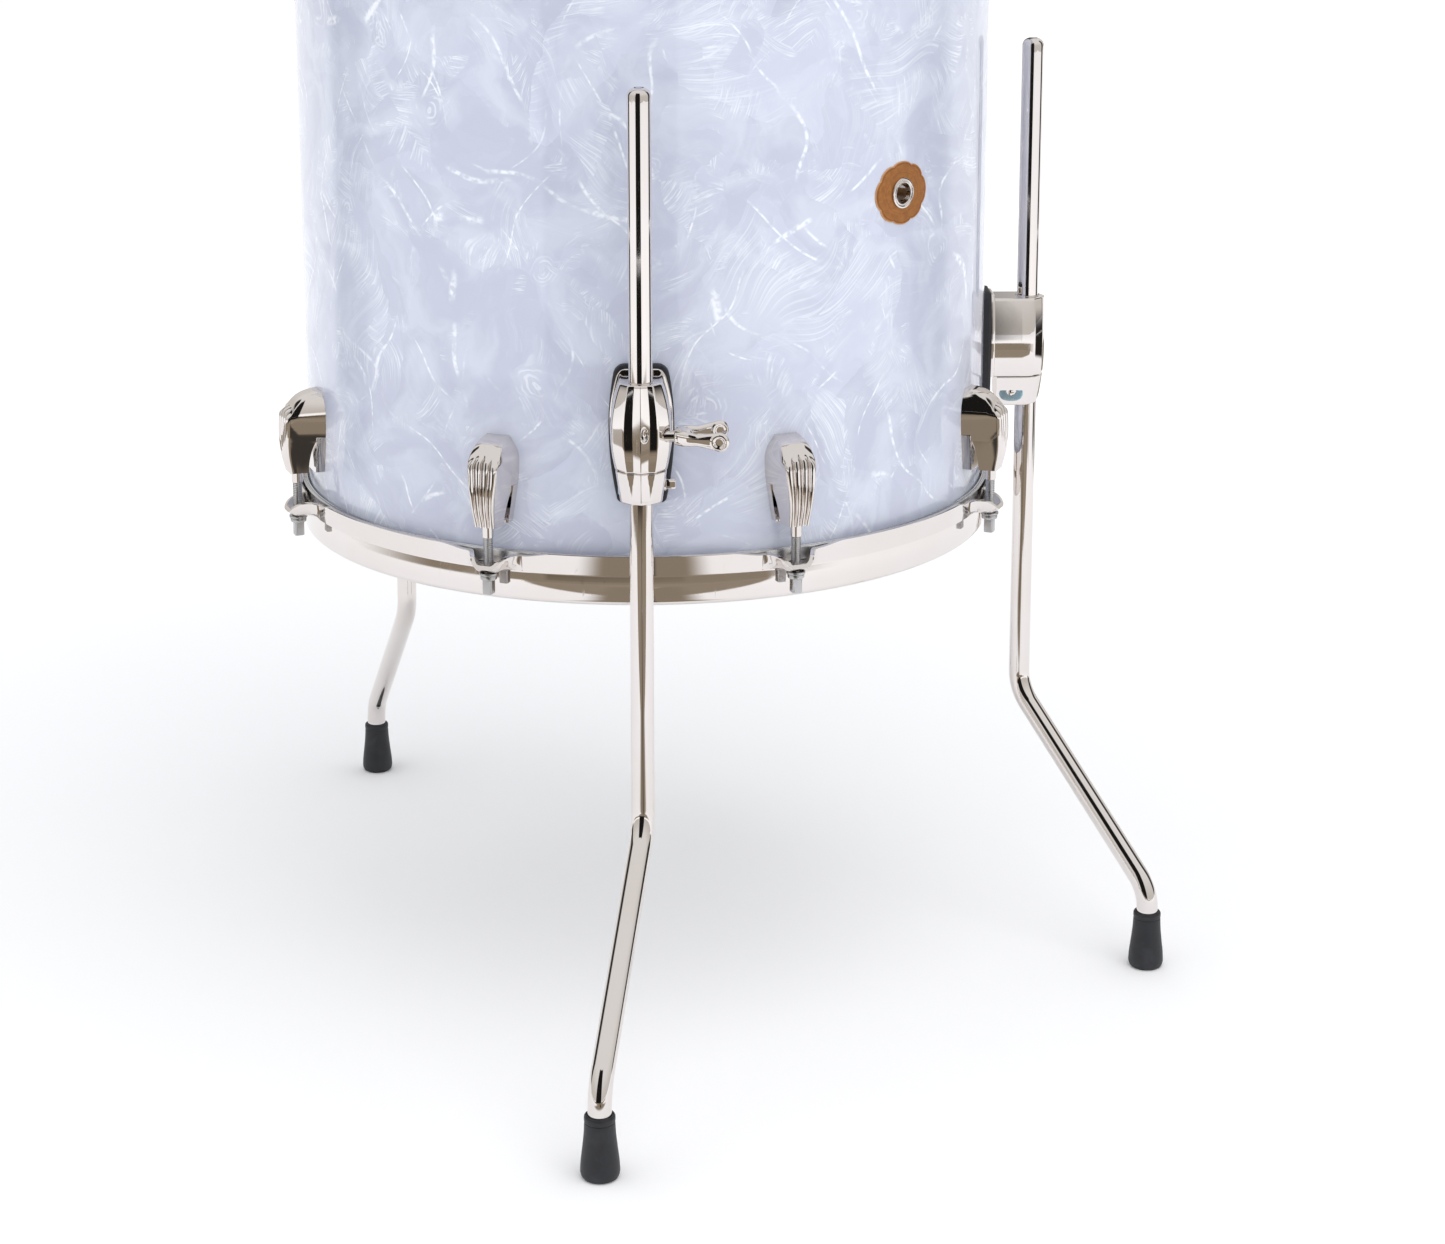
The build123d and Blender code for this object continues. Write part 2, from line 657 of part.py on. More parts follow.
with BuildPart() as ear_hole:
    with Locations((0, -rod_circle, ledge_low)):
        Cylinder(rod_radius + 0.5, 4 * hoop_thickness)

with BuildPart() as hoop_blank:
    with BuildSketch(facing(0)):
        Polygon(
            (rim_radius - hoop_thickness, rim_free_edge),
            (rim_radius, rim_free_edge),
            (rim_radius, ledge_low),
            (band_radius, ledge_low),
            (band_radius, band_edge),
            (band_radius - hoop_thickness, band_edge),
            (band_radius - hoop_thickness, ledge_high),
            (rim_radius - hoop_thickness, ledge_high),
            align=None,
        )
    revolve(axis=Axis.Z)

with BuildPart(turned(first_lug)) as resonant_hoop:
    add(hoop_blank.part)
    with PolarLocations(0, lug_count):
        add(ear_gap.part, mode=Mode.SUBTRACT)
        add(ear_plate.part)
        add(ear_hole.part, mode=Mode.SUBTRACT)

with BuildPart() as resonant_head_film:
    # Flat across the bearing edge, then up the outside of the shell into the head's ring
    inside = edge_height - running_gap
    bend = 3.0
    collar_outer = collar_radius + film_thickness
    collar_end = ledge_high + 4
    with BuildSketch(section_plane):
        with BuildLine():
            Line((0, inside), (collar_radius - bend, inside))
            CenterArc((collar_radius - bend, inside + bend), bend, -90, 90)
            Line((collar_radius, inside + bend), (collar_radius, collar_end))
            Line((collar_radius, collar_end), (collar_outer, collar_end))
            Line((collar_outer, collar_end), (collar_outer, inside + bend))
            CenterArc((collar_radius - bend, inside + bend), bend + film_thickness, -90, 90)
            Line((collar_radius - bend, inside - film_thickness), (0, inside - film_thickness))
            Line((0, inside - film_thickness), (0, inside))
        make_face()
    revolve(axis=drum_axis)

with BuildPart() as resonant_head_ring:
    with BuildSketch(section_plane):
        with Locations((head_ring_outer, ledge_high + skin_gap)):
            Rectangle(head_ring_thickness, head_ring_height, align=(Align.MAX, Align.MIN))
    revolve(axis=drum_axis)

rod_washer_radius = 5.2
rod_washer_thickness = 1.4
rod_flange_thickness = 2.8
rod_flange_radius = 4.6
rod_end = 273.8
rod_tip = 340.0
key_head = 6.35
washer_high = ledge_low - skin_gap
flange_high = washer_high - rod_washer_thickness - skin_gap
flange_low = flange_high - rod_flange_thickness

with BuildPart() as rod_washer_blank:
    with BuildSketch(looking_down(washer_high)):
        with Locations((0, rod_circle)):
            Circle(rod_washer_radius)
            Circle(rod_radius + 0.3, mode=Mode.SUBTRACT)
    extrude(amount=rod_washer_thickness)

with BuildPart(turned(first_lug)) as resonant_rod_washers:
    with PolarLocations(0, lug_count):
        add(rod_washer_blank.part)

with BuildPart() as rod_blank:
    with BuildSketch(looking_down(rod_tip)):
        with Locations((0, rod_circle)):
            Circle(rod_radius)
    extrude(amount=rod_tip - flange_high + 0.5)
    chamfer(rod_blank.edges().sort_by(Axis.Z)[-1], 0.6)
    with BuildSketch(looking_down(flange_high)):
        with Locations((0, rod_circle)):
            Circle(rod_flange_radius)
    extrude(amount=rod_flange_thickness)
    # Square head for a drum key
    with BuildSketch(looking_down(flange_low + 0.5)):
        with Locations((0, rod_circle)):
            RectangleRounded(key_head, key_head, 0.6)
    extrude(amount=flange_low + 0.5 - rod_end)

for number in range(lug_count):
    with BuildPart(turned(first_lug + number * 360 / lug_count)) as resonant_rod:
        add(rod_blank.part)
    keep(resonant_rod, f"resonant_rod_{number + 1}")

    with BuildPart() as batter_rod:
        mirror(resonant_rod.part, about=middle_plane)
    keep(batter_rod, f"batter_rod_{number + 1}")

resonant_side = {
    "hoop": resonant_hoop,
    "head_film": resonant_head_film,
    "head_ring": resonant_head_ring,
    "rod_washers": resonant_rod_washers,
}
for name, made in resonant_side.items():
    keep(made, f"resonant_{name}")
    with BuildPart() as mirrored:
        mirror(made.part, about=middle_plane)
    keep(mirrored, f"batter_{name}")

root_pieces = {
    "shell": shell,
    "pearl_wrap": pearl_wrap,
    "badge": badge,
    "vent_grommet": vent_grommet,
    "lower_lugs": lower_lugs,
    "upper_lugs": upper_lugs,
    "lug_nuts": lug_nuts,
    "lug_screws": lug_screws,
    "lug_washers": lug_washers,
    "bracket_gaskets": bracket_gaskets,
    "bracket_screws": bracket_screws,
    "bracket_washers": bracket_washers,
    "clamp_shoes": clamp_shoes,
}
for name, made in root_pieces.items():
    keep(made, name)
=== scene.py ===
"""Looks of a wrapped floor tom on three bent legs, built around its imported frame.

Each sub-assembly is a class that holds its sizes in millimetres and builds its own meshes as numpy grids.
A template is worked out in a station's own directions: across (to the right), outwards from the drum's axis,
and up. The station then places it, in metres, on the frame.
"""

import json
import logging
import math
from dataclasses import dataclass, field
from enum import Enum
from typing import Any, Sequence

import bmesh
import bpy
import numpy as np
from numpy.typing import NDArray
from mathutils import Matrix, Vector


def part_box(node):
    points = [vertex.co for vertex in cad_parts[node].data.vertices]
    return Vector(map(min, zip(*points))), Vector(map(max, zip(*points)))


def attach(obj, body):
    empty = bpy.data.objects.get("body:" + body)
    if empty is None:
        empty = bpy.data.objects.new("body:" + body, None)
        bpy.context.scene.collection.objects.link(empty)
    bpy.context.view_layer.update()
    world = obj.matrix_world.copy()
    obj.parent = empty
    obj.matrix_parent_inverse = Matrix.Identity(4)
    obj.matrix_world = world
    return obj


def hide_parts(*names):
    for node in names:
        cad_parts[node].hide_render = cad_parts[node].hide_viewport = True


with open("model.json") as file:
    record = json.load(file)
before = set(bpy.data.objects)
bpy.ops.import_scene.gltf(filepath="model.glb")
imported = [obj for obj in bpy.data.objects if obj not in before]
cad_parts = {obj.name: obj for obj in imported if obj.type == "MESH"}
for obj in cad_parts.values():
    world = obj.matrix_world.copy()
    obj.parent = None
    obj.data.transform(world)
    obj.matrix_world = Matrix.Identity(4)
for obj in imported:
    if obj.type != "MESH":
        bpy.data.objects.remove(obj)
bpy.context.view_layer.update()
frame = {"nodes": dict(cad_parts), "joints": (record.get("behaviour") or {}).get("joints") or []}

Array = NDArray[np.float64]
Colour = tuple[float, float, float]
Node, Socket, NodeTree = bpy.types.Node, bpy.types.NodeSocket, bpy.types.NodeTree
MM = 0.001
SEAT = 0.03  # millimetres left between a part and what it is laid on
SIDES = ("front", "right", "back")
log = logging.getLogger("floor_tom")


# ---- curves and grids


def smoothstep(low: float, high: float, value: Array) -> Array:
    """Rises from 0 at low to 1 at high along the cubic 3t^2 - 2t^3."""
    t = np.clip((value - low) / (high - low), 0.0, 1.0)
    return t * t * (3.0 - 2.0 * t)


def rounded(corners: Sequence[tuple[float, float, float]], steps: int = 4, closed: bool = True) -> Array:
    """An outline whose corners are eased off.

    Each corner (x, y, radius) becomes the quadratic curve (1-t)^2 a + 2t(1-t) p + t^2 b, where a and b lie on
    the two sides at that radius from the corner p, or halfway along a side that is shorter.

    Args:
        corners: x, y and radius of each corner, in order.
        steps: points laid along each corner's curve, less one.
        closed: whether the last corner joins the first; an open outline keeps its two ends sharp.

    Returns:
        The outline's points, shape (count, 2).
    """
    given = np.asarray(corners, float)
    p, radius = given[:, :2], given[:, 2].copy()
    if not closed:
        radius[0] = radius[-1] = 0.0
    before, after = np.roll(p, 1, axis=0) - p, np.roll(p, -1, axis=0) - p
    reach_before, reach_after = np.linalg.norm(before, axis=1), np.linalg.norm(after, axis=1)
    radius = np.minimum(radius, 0.5 * np.minimum(reach_before, reach_after))
    a = p + before * (radius / reach_before)[:, None]
    b = p + after * (radius / reach_after)[:, None]
    t = np.linspace(0.0, 1.0, steps + 1)[None, :, None]
    curve = (1 - t) ** 2 * a[:, None] + 2 * t * (1 - t) * p[:, None] + t**2 * b[:, None]
    return curve.reshape(-1, 2)


def spaced(points: Array, step: float) -> Array:
    """Adds points along an outline's straight runs so that no gap is much over the step.

    Args:
        points: the outline's points, shape (count, axes).
        step: the widest gap wanted, along the outline.

    Returns:
        The old points and the new ones, in order.
    """
    lengths = np.linalg.norm(np.diff(points, axis=0), axis=1)
    along = np.concatenate([[0.0], np.cumsum(lengths)])
    extra = np.arange(0.0, along[-1], step)
    stops = np.unique(np.round(np.concatenate([along, extra]), 4))
    return np.stack([np.interp(stops, along, points[:, axis]) for axis in range(points.shape[1])], axis=1)


def xyz(x: Array | float, y: Array | float, z: Array | float) -> Array:
    """Points (..., 3) from three coordinates, each spread to their common shape."""
    return np.stack(np.broadcast_arrays(x, y, z), -1)


def revolved(profile: Array, segments: int) -> Array:
    """Turns a profile about the upright axis: x = r cos a, y = r sin a, z = height.

    Args:
        profile: radius and height of each point.
        segments: steps round the axis.

    Returns:
        Points of shape (profile points, segments + 1, 3).
    """
    angle = np.linspace(0.0, 2 * np.pi, segments + 1)
    r, z = profile[:, :1], profile[:, 1:2]
    return xyz(r * np.cos(angle), r * np.sin(angle), z)


def ruled(a: Array, b: Array, steps: int) -> Array:
    """Straight lines from each point of one edge to the same point of another: (1-t) a + t b."""
    t = np.linspace(0.0, 1.0, steps + 1)[:, None, None]
    return (1 - t) * a[None] + t * b[None]


def slab(front: Array, back: Array, steps: int = 3) -> list[Array]:
    """The closed skin between two sheets of the same grid.

    Args:
        front: points of one sheet, shape (rows, columns, 3).
        back: points of the other sheet.
        steps: rows of faces across each of the four edges.

    Returns:
        Six patches: both sheets and their ruled edges.
    """
    edges = [(front[0], back[0]), (front[-1], back[-1])]
    edges += [(front[:, 0], back[:, 0]), (front[:, -1], back[:, -1])]
    return [front, back] + [ruled(a, b, steps) for a, b in edges]


def crowded(steps: int, share: float) -> Array:
    """A row from -1 to 1 that crowds towards both ends: k sin(pi t / 2) + (1 - k) t, for the share k."""
    even = np.linspace(-1, 1, steps + 1)[None, :]
    return share * np.sin(even * np.pi / 2) + (1 - share) * even


def cell_with_hole(half: float, cells: int, radius: float, rings: int) -> Array:
    """A square patch with a round hole.

    Rings run from the circle to the square: point = (1-t) * radius * unit(s) + t * s, where s goes round the
    square's edge in even steps.

    Args:
        half: half the square's side.
        cells: grid cells along one side.
        radius: the hole's radius.
        rings: rows of faces between hole and square.

    Returns:
        Points of shape (rings + 1, 4 * cells + 1, 2).
    """
    run = np.linspace(-half, half, cells + 1)[:-1]
    edge = np.full(cells, half)
    square = np.concatenate(
        [
            np.stack([run, -edge], 1),
            np.stack([edge, run], 1),
            np.stack([-run, edge], 1),
            np.stack([-edge, -run], 1),
        ]
    )
    square = np.concatenate([square, square[:1]])
    circle = radius * square / np.linalg.norm(square, axis=1, keepdims=True)
    t = np.linspace(0.0, 1.0, rings + 1)[:, None, None]
    return (1 - t) * circle[None] + t * square[None]


# ---- places on the drum


def box_of(node: str) -> tuple[Array, Array]:
    """A node's low and high corners, in millimetres."""
    low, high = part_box(node)
    return np.array(low) / MM, np.array(high) / MM


@dataclass(frozen=True)
class Drum:
    """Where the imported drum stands, read from the frame, in millimetres.

    Azimuths are about the drum's axis: 0 faces -Y, and they grow towards +X.
    """

    x: float
    y: float
    radius: float
    low: float
    high: float
    rod_circle: float
    rod_azimuths: Array

    @classmethod
    def from_frame(cls) -> "Drum":
        """Reads the shell, the wrap and the tension rods.

        Returns:
            The drum as it stands in the frame.
        """
        low, high = box_of("shell")
        wrap_low, wrap_high = box_of("pearl_wrap")
        centre = (wrap_low + wrap_high) / 2
        rods = [j for j in frame["joints"] if j["name"].startswith("resonant_rod_")]
        reach = np.array([j["pos_m"][:2] for j in rods]) / MM - centre[:2]
        return cls(
            x=float(centre[0]),
            y=float(centre[1]),
            radius=float(wrap_high[0] - wrap_low[0]) / 2,
            low=float(low[2]),
            high=float(high[2]),
            rod_circle=float(np.linalg.norm(reach, axis=1).mean()),
            rod_azimuths=np.degrees(np.arctan2(reach[:, 0], -reach[:, 1])),
        )

    @property
    def middle(self) -> float:
        """Height of the shell's middle."""
        return (self.low + self.high) / 2

    def place(self, local: Array, azimuths: Sequence[float] | Array) -> Array:
        """Stands copies of a template round the drum, in metres.

        x = axis + r sin a + u cos a, y = axis - r cos a + u sin a, z = z, for u across and r outwards.

        Args:
            local: template points (..., 3) as across, outwards, up, in millimetres.
            azimuths: one azimuth in degrees for each copy.

        Returns:
            World points, shape (copies, ..., 3).
        """
        angle = np.radians(np.atleast_1d(np.asarray(azimuths, float)))
        angle = angle.reshape((-1,) + (1,) * (local.ndim - 1))
        u, r, z = local[None, ..., 0], local[None, ..., 1], local[None, ..., 2]
        x = self.x + r * np.sin(angle) + u * np.cos(angle)
        y = self.y - r * np.cos(angle) + u * np.sin(angle)
        return xyz(x, y, z) * MM

    def wrapped(self, across: Array, lift: Array | float, height: Array) -> Array:
        """Lays a flat pattern on the shell: across becomes the angle across / radius.

        Args:
            across: distance along the shell's surface.
            lift: how far each point stands off the surface.
            height: height of each point.

        Returns:
            Template points of shape (..., 3).
        """
        angle = across / self.radius
        reach = self.radius + lift
        return xyz(reach * np.sin(angle), reach * np.cos(angle), height)

    def mirrored(self, world: Array) -> Array:
        """Mirrors world points about the shell's middle height."""
        return world * (1, 1, -1) + (0, 0, 2 * self.middle * MM)

    def on_side(self, world: Array, side: str) -> Array:
        """World points of a lower piece as they are, or mirrored if the side is the batter's."""
        return self.mirrored(world) if side == "batter" else world


@dataclass(frozen=True)
class LegStation:
    """One leg's place: its bracket's azimuth and the upright's, wing bolt's and lock screw's centres."""

    side: str
    azimuth: float
    leg: Array
    wing: Array
    lock_screw: Array

    @classmethod
    def from_frame(cls, side: str, drum: Drum) -> "LegStation":
        """Reads the joints of one side.

        Args:
            side: which leg, by its name in the frame.
            drum: the drum it stands beside.

        Returns:
            The leg's station.
        """
        places = {j["name"]: np.array(j.get("pos_m", (0, 0, 0))) / MM for j in frame["joints"]}
        leg = places[f"{side}_leg_turn"]
        azimuth = math.degrees(math.atan2(leg[0] - drum.x, drum.y - leg[1]))
        return cls(side, azimuth, leg, places[f"{side}_wing_bolt_turn"], places[f"{side}_lock_screw_turn"])

    def reach(self, point: Array, drum: Drum) -> float:
        """How far a joint's centre is from the drum's axis."""
        return float(np.hypot(point[0] - drum.x, point[1] - drum.y))


# ---- meshes


@dataclass
class Skin:
    """Grid patches gathered into one mesh."""

    points: list[Array] = field(default_factory=list)
    maps: list[Array] = field(default_factory=list)
    faces: list[NDArray[np.int64]] = field(default_factory=list)
    count: int = 0

    def add(self, grid: Array, surface: Array | None = None, keep: NDArray[np.bool_] | None = None) -> None:
        """Adds one grid, or several of the same size along leading axes.

        Args:
            grid: points of shape (..., rows, columns, 3), in metres.
            surface: the grid's UV, shape (..., rows, columns, 2); left at zero if absent.
            keep: which faces of each grid are made, shape (rows - 1, columns - 1).
        """
        rows, columns = grid.shape[-3:-1]
        index = np.arange(grid.size // 3).reshape(-1, rows, columns) + self.count
        quads = np.stack([index[:, :-1, :-1], index[:, :-1, 1:], index[:, 1:, 1:], index[:, 1:, :-1]], -1)
        quads = quads[:, keep] if keep is not None else quads
        self.faces.append(quads.reshape(-1, 4))
        self.points.append(grid.reshape(-1, 3))
        self.maps.append(np.zeros((grid.size // 3, 2)) if surface is None else surface.reshape(-1, 2))
        self.count += grid.size // 3

    @classmethod
    def of(cls, *grids: Array) -> "Skin":
        """A skin of grids that need no map.

        Args:
            grids: each grid's points, in metres.

        Returns:
            The skin.
        """
        skin = cls()
        for grid in grids:
            skin.add(grid)
        return skin

    def mesh(self, name: str, crease: float, closed: bool) -> bpy.types.Mesh:
        """Makes the Blender mesh: doubles merged, normals outwards, smooth but for its sharp edges.

        Args:
            name: the mesh's name.
            crease: edges sharper than this many degrees stay sharp.
            closed: whether the patches close, so that normals can be worked out.

        Returns:
            The mesh, with its map under the name Surface.
        """
        points, faces = np.concatenate(self.points), np.concatenate(self.faces)
        surface = np.concatenate(self.maps)[faces.ravel()]
        mesh = bpy.data.meshes.new(name)
        mesh.vertices.add(len(points))
        mesh.vertices.foreach_set("co", points.astype(np.float32).ravel())
        mesh.loops.add(faces.size)
        mesh.loops.foreach_set("vertex_index", faces.astype(np.int32).ravel())
        mesh.polygons.add(len(faces))
        mesh.polygons.foreach_set("loop_start", np.arange(0, faces.size, 4, dtype=np.int32))
        mesh.update(calc_edges=True)
        layer = mesh.uv_layers.new(name="Surface")
        layer.uv.foreach_set("vector", surface.astype(np.float32).ravel())
        work = bmesh.new()
        work.from_mesh(mesh)
        bmesh.ops.remove_doubles(work, verts=work.verts, dist=2e-6)
        bmesh.ops.dissolve_degenerate(work, edges=work.edges, dist=1e-7)
        if closed:
            bmesh.ops.recalc_face_normals(work, faces=work.faces)
        work.to_mesh(mesh)
        work.free()
        mesh.shade_smooth()
        mesh.set_sharp_from_angle(angle=math.radians(crease))
        return mesh

    def piece(
        self,
        name: str,
        body: str,
        finish: "Finish",
        nodes: Sequence[str],
        crease: float = 38.0,
        closed: bool = True,
    ) -> bpy.types.Object:
        """Makes the object, dresses it, ties it to its body, and hides the CAD nodes it stands for.

        Args:
            name: the piece's name.
            body: the CAD body it rides on.
            finish: the finish it wears.
            nodes: the CAD nodes it replaces.
            crease: edges sharper than this many degrees stay sharp.
            closed: whether the patches close, so that normals can be worked out.

        Returns:
            The object, at the origin.
        """
        thing = bpy.data.objects.new(name, self.mesh(name, crease, closed))
        bpy.context.scene.collection.objects.link(thing)
        thing.data.materials.append(finish.material())
        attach(thing, body)
        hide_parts(*nodes)
        log.info("%s: %d faces on %s", name, len(thing.data.polygons), body)
        return thing


# ---- node trees


class Tree:
    """Short calls for laying out shader nodes."""

    def __init__(self, nodes_of: NodeTree) -> None:
        """Starts from an empty tree."""
        self.tree = nodes_of
        self.tree.nodes.clear()

    def add(self, kind: str, inputs: dict[Any, Any] | None = None, **settings: Any) -> Node:
        """Adds a node.

        Args:
            kind: the node type without its ShaderNode prefix, or a full name for group nodes.
            inputs: socket name or index to a value, or to an output socket that is linked in.
            settings: attributes of the node itself.

        Returns:
            The node.
        """
        node = self.tree.nodes.new(kind if kind.startswith("NodeGroup") else f"ShaderNode{kind}")
        for key, value in settings.items():
            setattr(node, key, value)
        self.feed(node, inputs or {})
        return node

    def feed(self, node: Node, inputs: dict[Any, Any]) -> None:
        """Sets a node's inputs.

        Args:
            node: the node.
            inputs: socket name or index to a value, a colour, or an output socket that is linked in.
        """
        for key, value in inputs.items():
            socket = node.inputs[key]
            if isinstance(value, Socket):
                self.tree.links.new(value, socket)
            else:
                socket.default_value = (*value, 1.0) if socket.type == "RGBA" else value

    def math(self, operation: str, a: Any, b: Any = 0.0, clamp: bool = False) -> Socket:
        """One arithmetic step on two values."""
        return self.add("Math", {0: a, 1: b}, operation=operation, use_clamp=clamp).outputs[0]

    def times(self, a: Any, b: Any) -> Socket:
        """The product of two values."""
        return self.math("MULTIPLY", a, b)

    def plus(self, a: Any, b: Any, clamp: bool = False) -> Socket:
        """The sum of two values, held between 0 and 1 if it is clamped."""
        return self.math("ADD", a, b, clamp)

    def vector(self, operation: str, a: Any, b: Any = (0.0, 0.0, 0.0)) -> Socket:
        """One arithmetic step on two vectors; a length or distance comes out as a value."""
        node = self.add("VectorMath", {0: a, 1: b}, operation=operation)
        return node.outputs[1 if operation in ("LENGTH", "DISTANCE", "DOT_PRODUCT") else 0]

    def ramp(self, value: Any, low: float, high: float, start: float = 0.0, end: float = 1.0) -> Socket:
        """Eases a value from start, at low, to end, at high."""
        inputs = {"Value": value, "From Min": low, "From Max": high, "To Min": start, "To Max": end}
        return self.add("MapRange", inputs, interpolation_type="SMOOTHSTEP").outputs[0]

    def noise(self, vector: Any, scale: float, detail: float = 2.0, distortion: float = 0.0) -> Socket:
        """Cloudy noise at so many features to a metre."""
        settings = {"Vector": vector, "Scale": scale, "Detail": detail, "Distortion": distortion}
        return self.add("TexNoise", settings).outputs[0]

    def hues(self, vector: Any, scale: float, detail: float) -> Socket:
        """The same noise as three values that differ."""
        return self.add("TexNoise", {"Vector": vector, "Scale": scale, "Detail": detail}).outputs[1]

    def blend(self, amount: Any, a: Any, b: Any, kind: str = "MIX") -> Socket:
        """Mixes two colours."""
        return self.add("Mix", {0: amount, 6: a, 7: b}, data_type="RGBA", blend_type=kind).outputs[2]

    def turned(self, vector: Any, angle: Any) -> Socket:
        """Turns coordinates about the upright axis."""
        return self.add("VectorRotate", {"Vector": vector, "Angle": angle}, rotation_type="Z_AXIS").outputs[0]

    def stretched(self, vector: Any, factors: tuple[float, float, float], turn: float = 0.0) -> Socket:
        """Turns coordinates about the upright axis and scales them."""
        return self.vector("MULTIPLY", self.turned(vector, turn), factors)


class Effect(Enum):
    """Shared surface effects, each one shader node group built once."""

    HANDLING = "Handling marks"
    SPECKLE = "Moulded speckle"
    PEARL = "Pearl flakes"

    def group(self) -> NodeTree:
        """The group, built on first use.

        Returns:
            The group's node tree.
        """
        made = bpy.data.node_groups.get(self.value)
        if made is None:
            made = bpy.data.node_groups.new(self.value, "ShaderNodeTree")
            build = {Effect.HANDLING: handling_marks, Effect.SPECKLE: speckle, Effect.PEARL: pearl_flakes}
            build[self](made)
        return made

    def use(self, tree: Tree, inputs: dict[str, Any]) -> Node:
        """Places the group in a material.

        Args:
            tree: the material's tree.
            inputs: the group's inputs by name.

        Returns:
            The group node.
        """
        node = tree.add("Group")
        node.node_tree = self.group()
        tree.feed(node, inputs)
        return node


def declare(group: NodeTree, inputs: dict[str, str], outputs: dict[str, str]) -> tuple[Any, Any, Tree]:
    """Gives a group its sockets.

    Args:
        group: the group's tree.
        inputs: name to kind (Vector, Float or Color) of each input.
        outputs: the same of each output.

    Returns:
        The input node, the output node and the tree they stand in.
    """
    for names, side in ((inputs, "INPUT"), (outputs, "OUTPUT")):
        for name, kind in names.items():
            group.interface.new_socket(name=name, in_out=side, socket_type=f"NodeSocket{kind}")
    tree = Tree(group)
    return tree.add("NodeGroupInput"), tree.add("NodeGroupOutput"), tree


def handling_marks(group: NodeTree) -> None:
    """Soft smudges from handling, and hairline scratches that run in two directions.

    Args:
        group: the empty group to build in.
    """
    outputs = {"Smudge": "Float", "Scratch": "Float", "Grain": "Float"}
    given, out, tree = declare(group, {"Vector": "Vector"}, outputs)
    where = given.outputs["Vector"]
    cloud = tree.noise(where, 38.0, 3.0, 0.6)
    finger = tree.noise(where, 120.0, 2.0, 0.2)
    smudge = tree.times(tree.ramp(cloud, 0.45, 0.72), tree.ramp(finger, 0.35, 0.7, 0.4, 1.0))
    lines = []
    for turn, long in ((0.35, 26.0), (1.9, 34.0)):
        fine = tree.noise(tree.stretched(where, (1400.0, long, 60.0), turn), 1.0, 1.0)
        patchy = tree.noise(where, 55.0 + long, 1.0)
        lines.append(tree.times(tree.ramp(fine, 0.68, 0.74), tree.ramp(patchy, 0.5, 0.65)))
    grain = tree.noise(where, 2600.0, 2.0)
    tree.feed(out, {"Smudge": smudge, "Scratch": tree.math("MAXIMUM", *lines), "Grain": grain})


def speckle(group: NodeTree) -> None:
    """The fine pebbling of moulded rubber or sprayed coating, with lint and pale dust.

    Args:
        group: the empty group to build in.
    """
    inputs = {"Vector": "Vector", "Size": "Float"}
    given, out, tree = declare(group, inputs, {"Height": "Float", "Dust": "Float"})
    where = given.outputs["Vector"]
    times = tree.math("DIVIDE", 1.0, given.outputs["Size"])
    scaled = tree.add("VectorMath", {0: where, "Scale": times}, operation="SCALE").outputs[0]
    pebbles = tree.add("TexVoronoi", {"Vector": scaled, "Scale": 1.0}, feature="SMOOTH_F1").outputs[0]
    height = tree.plus(tree.times(pebbles, 0.6), tree.noise(scaled, 0.35, 3.0))
    patches = tree.noise(where, 90.0, 4.0, 0.5)
    tree.feed(out, {"Height": height, "Dust": tree.ramp(patches, 0.5, 0.78)})


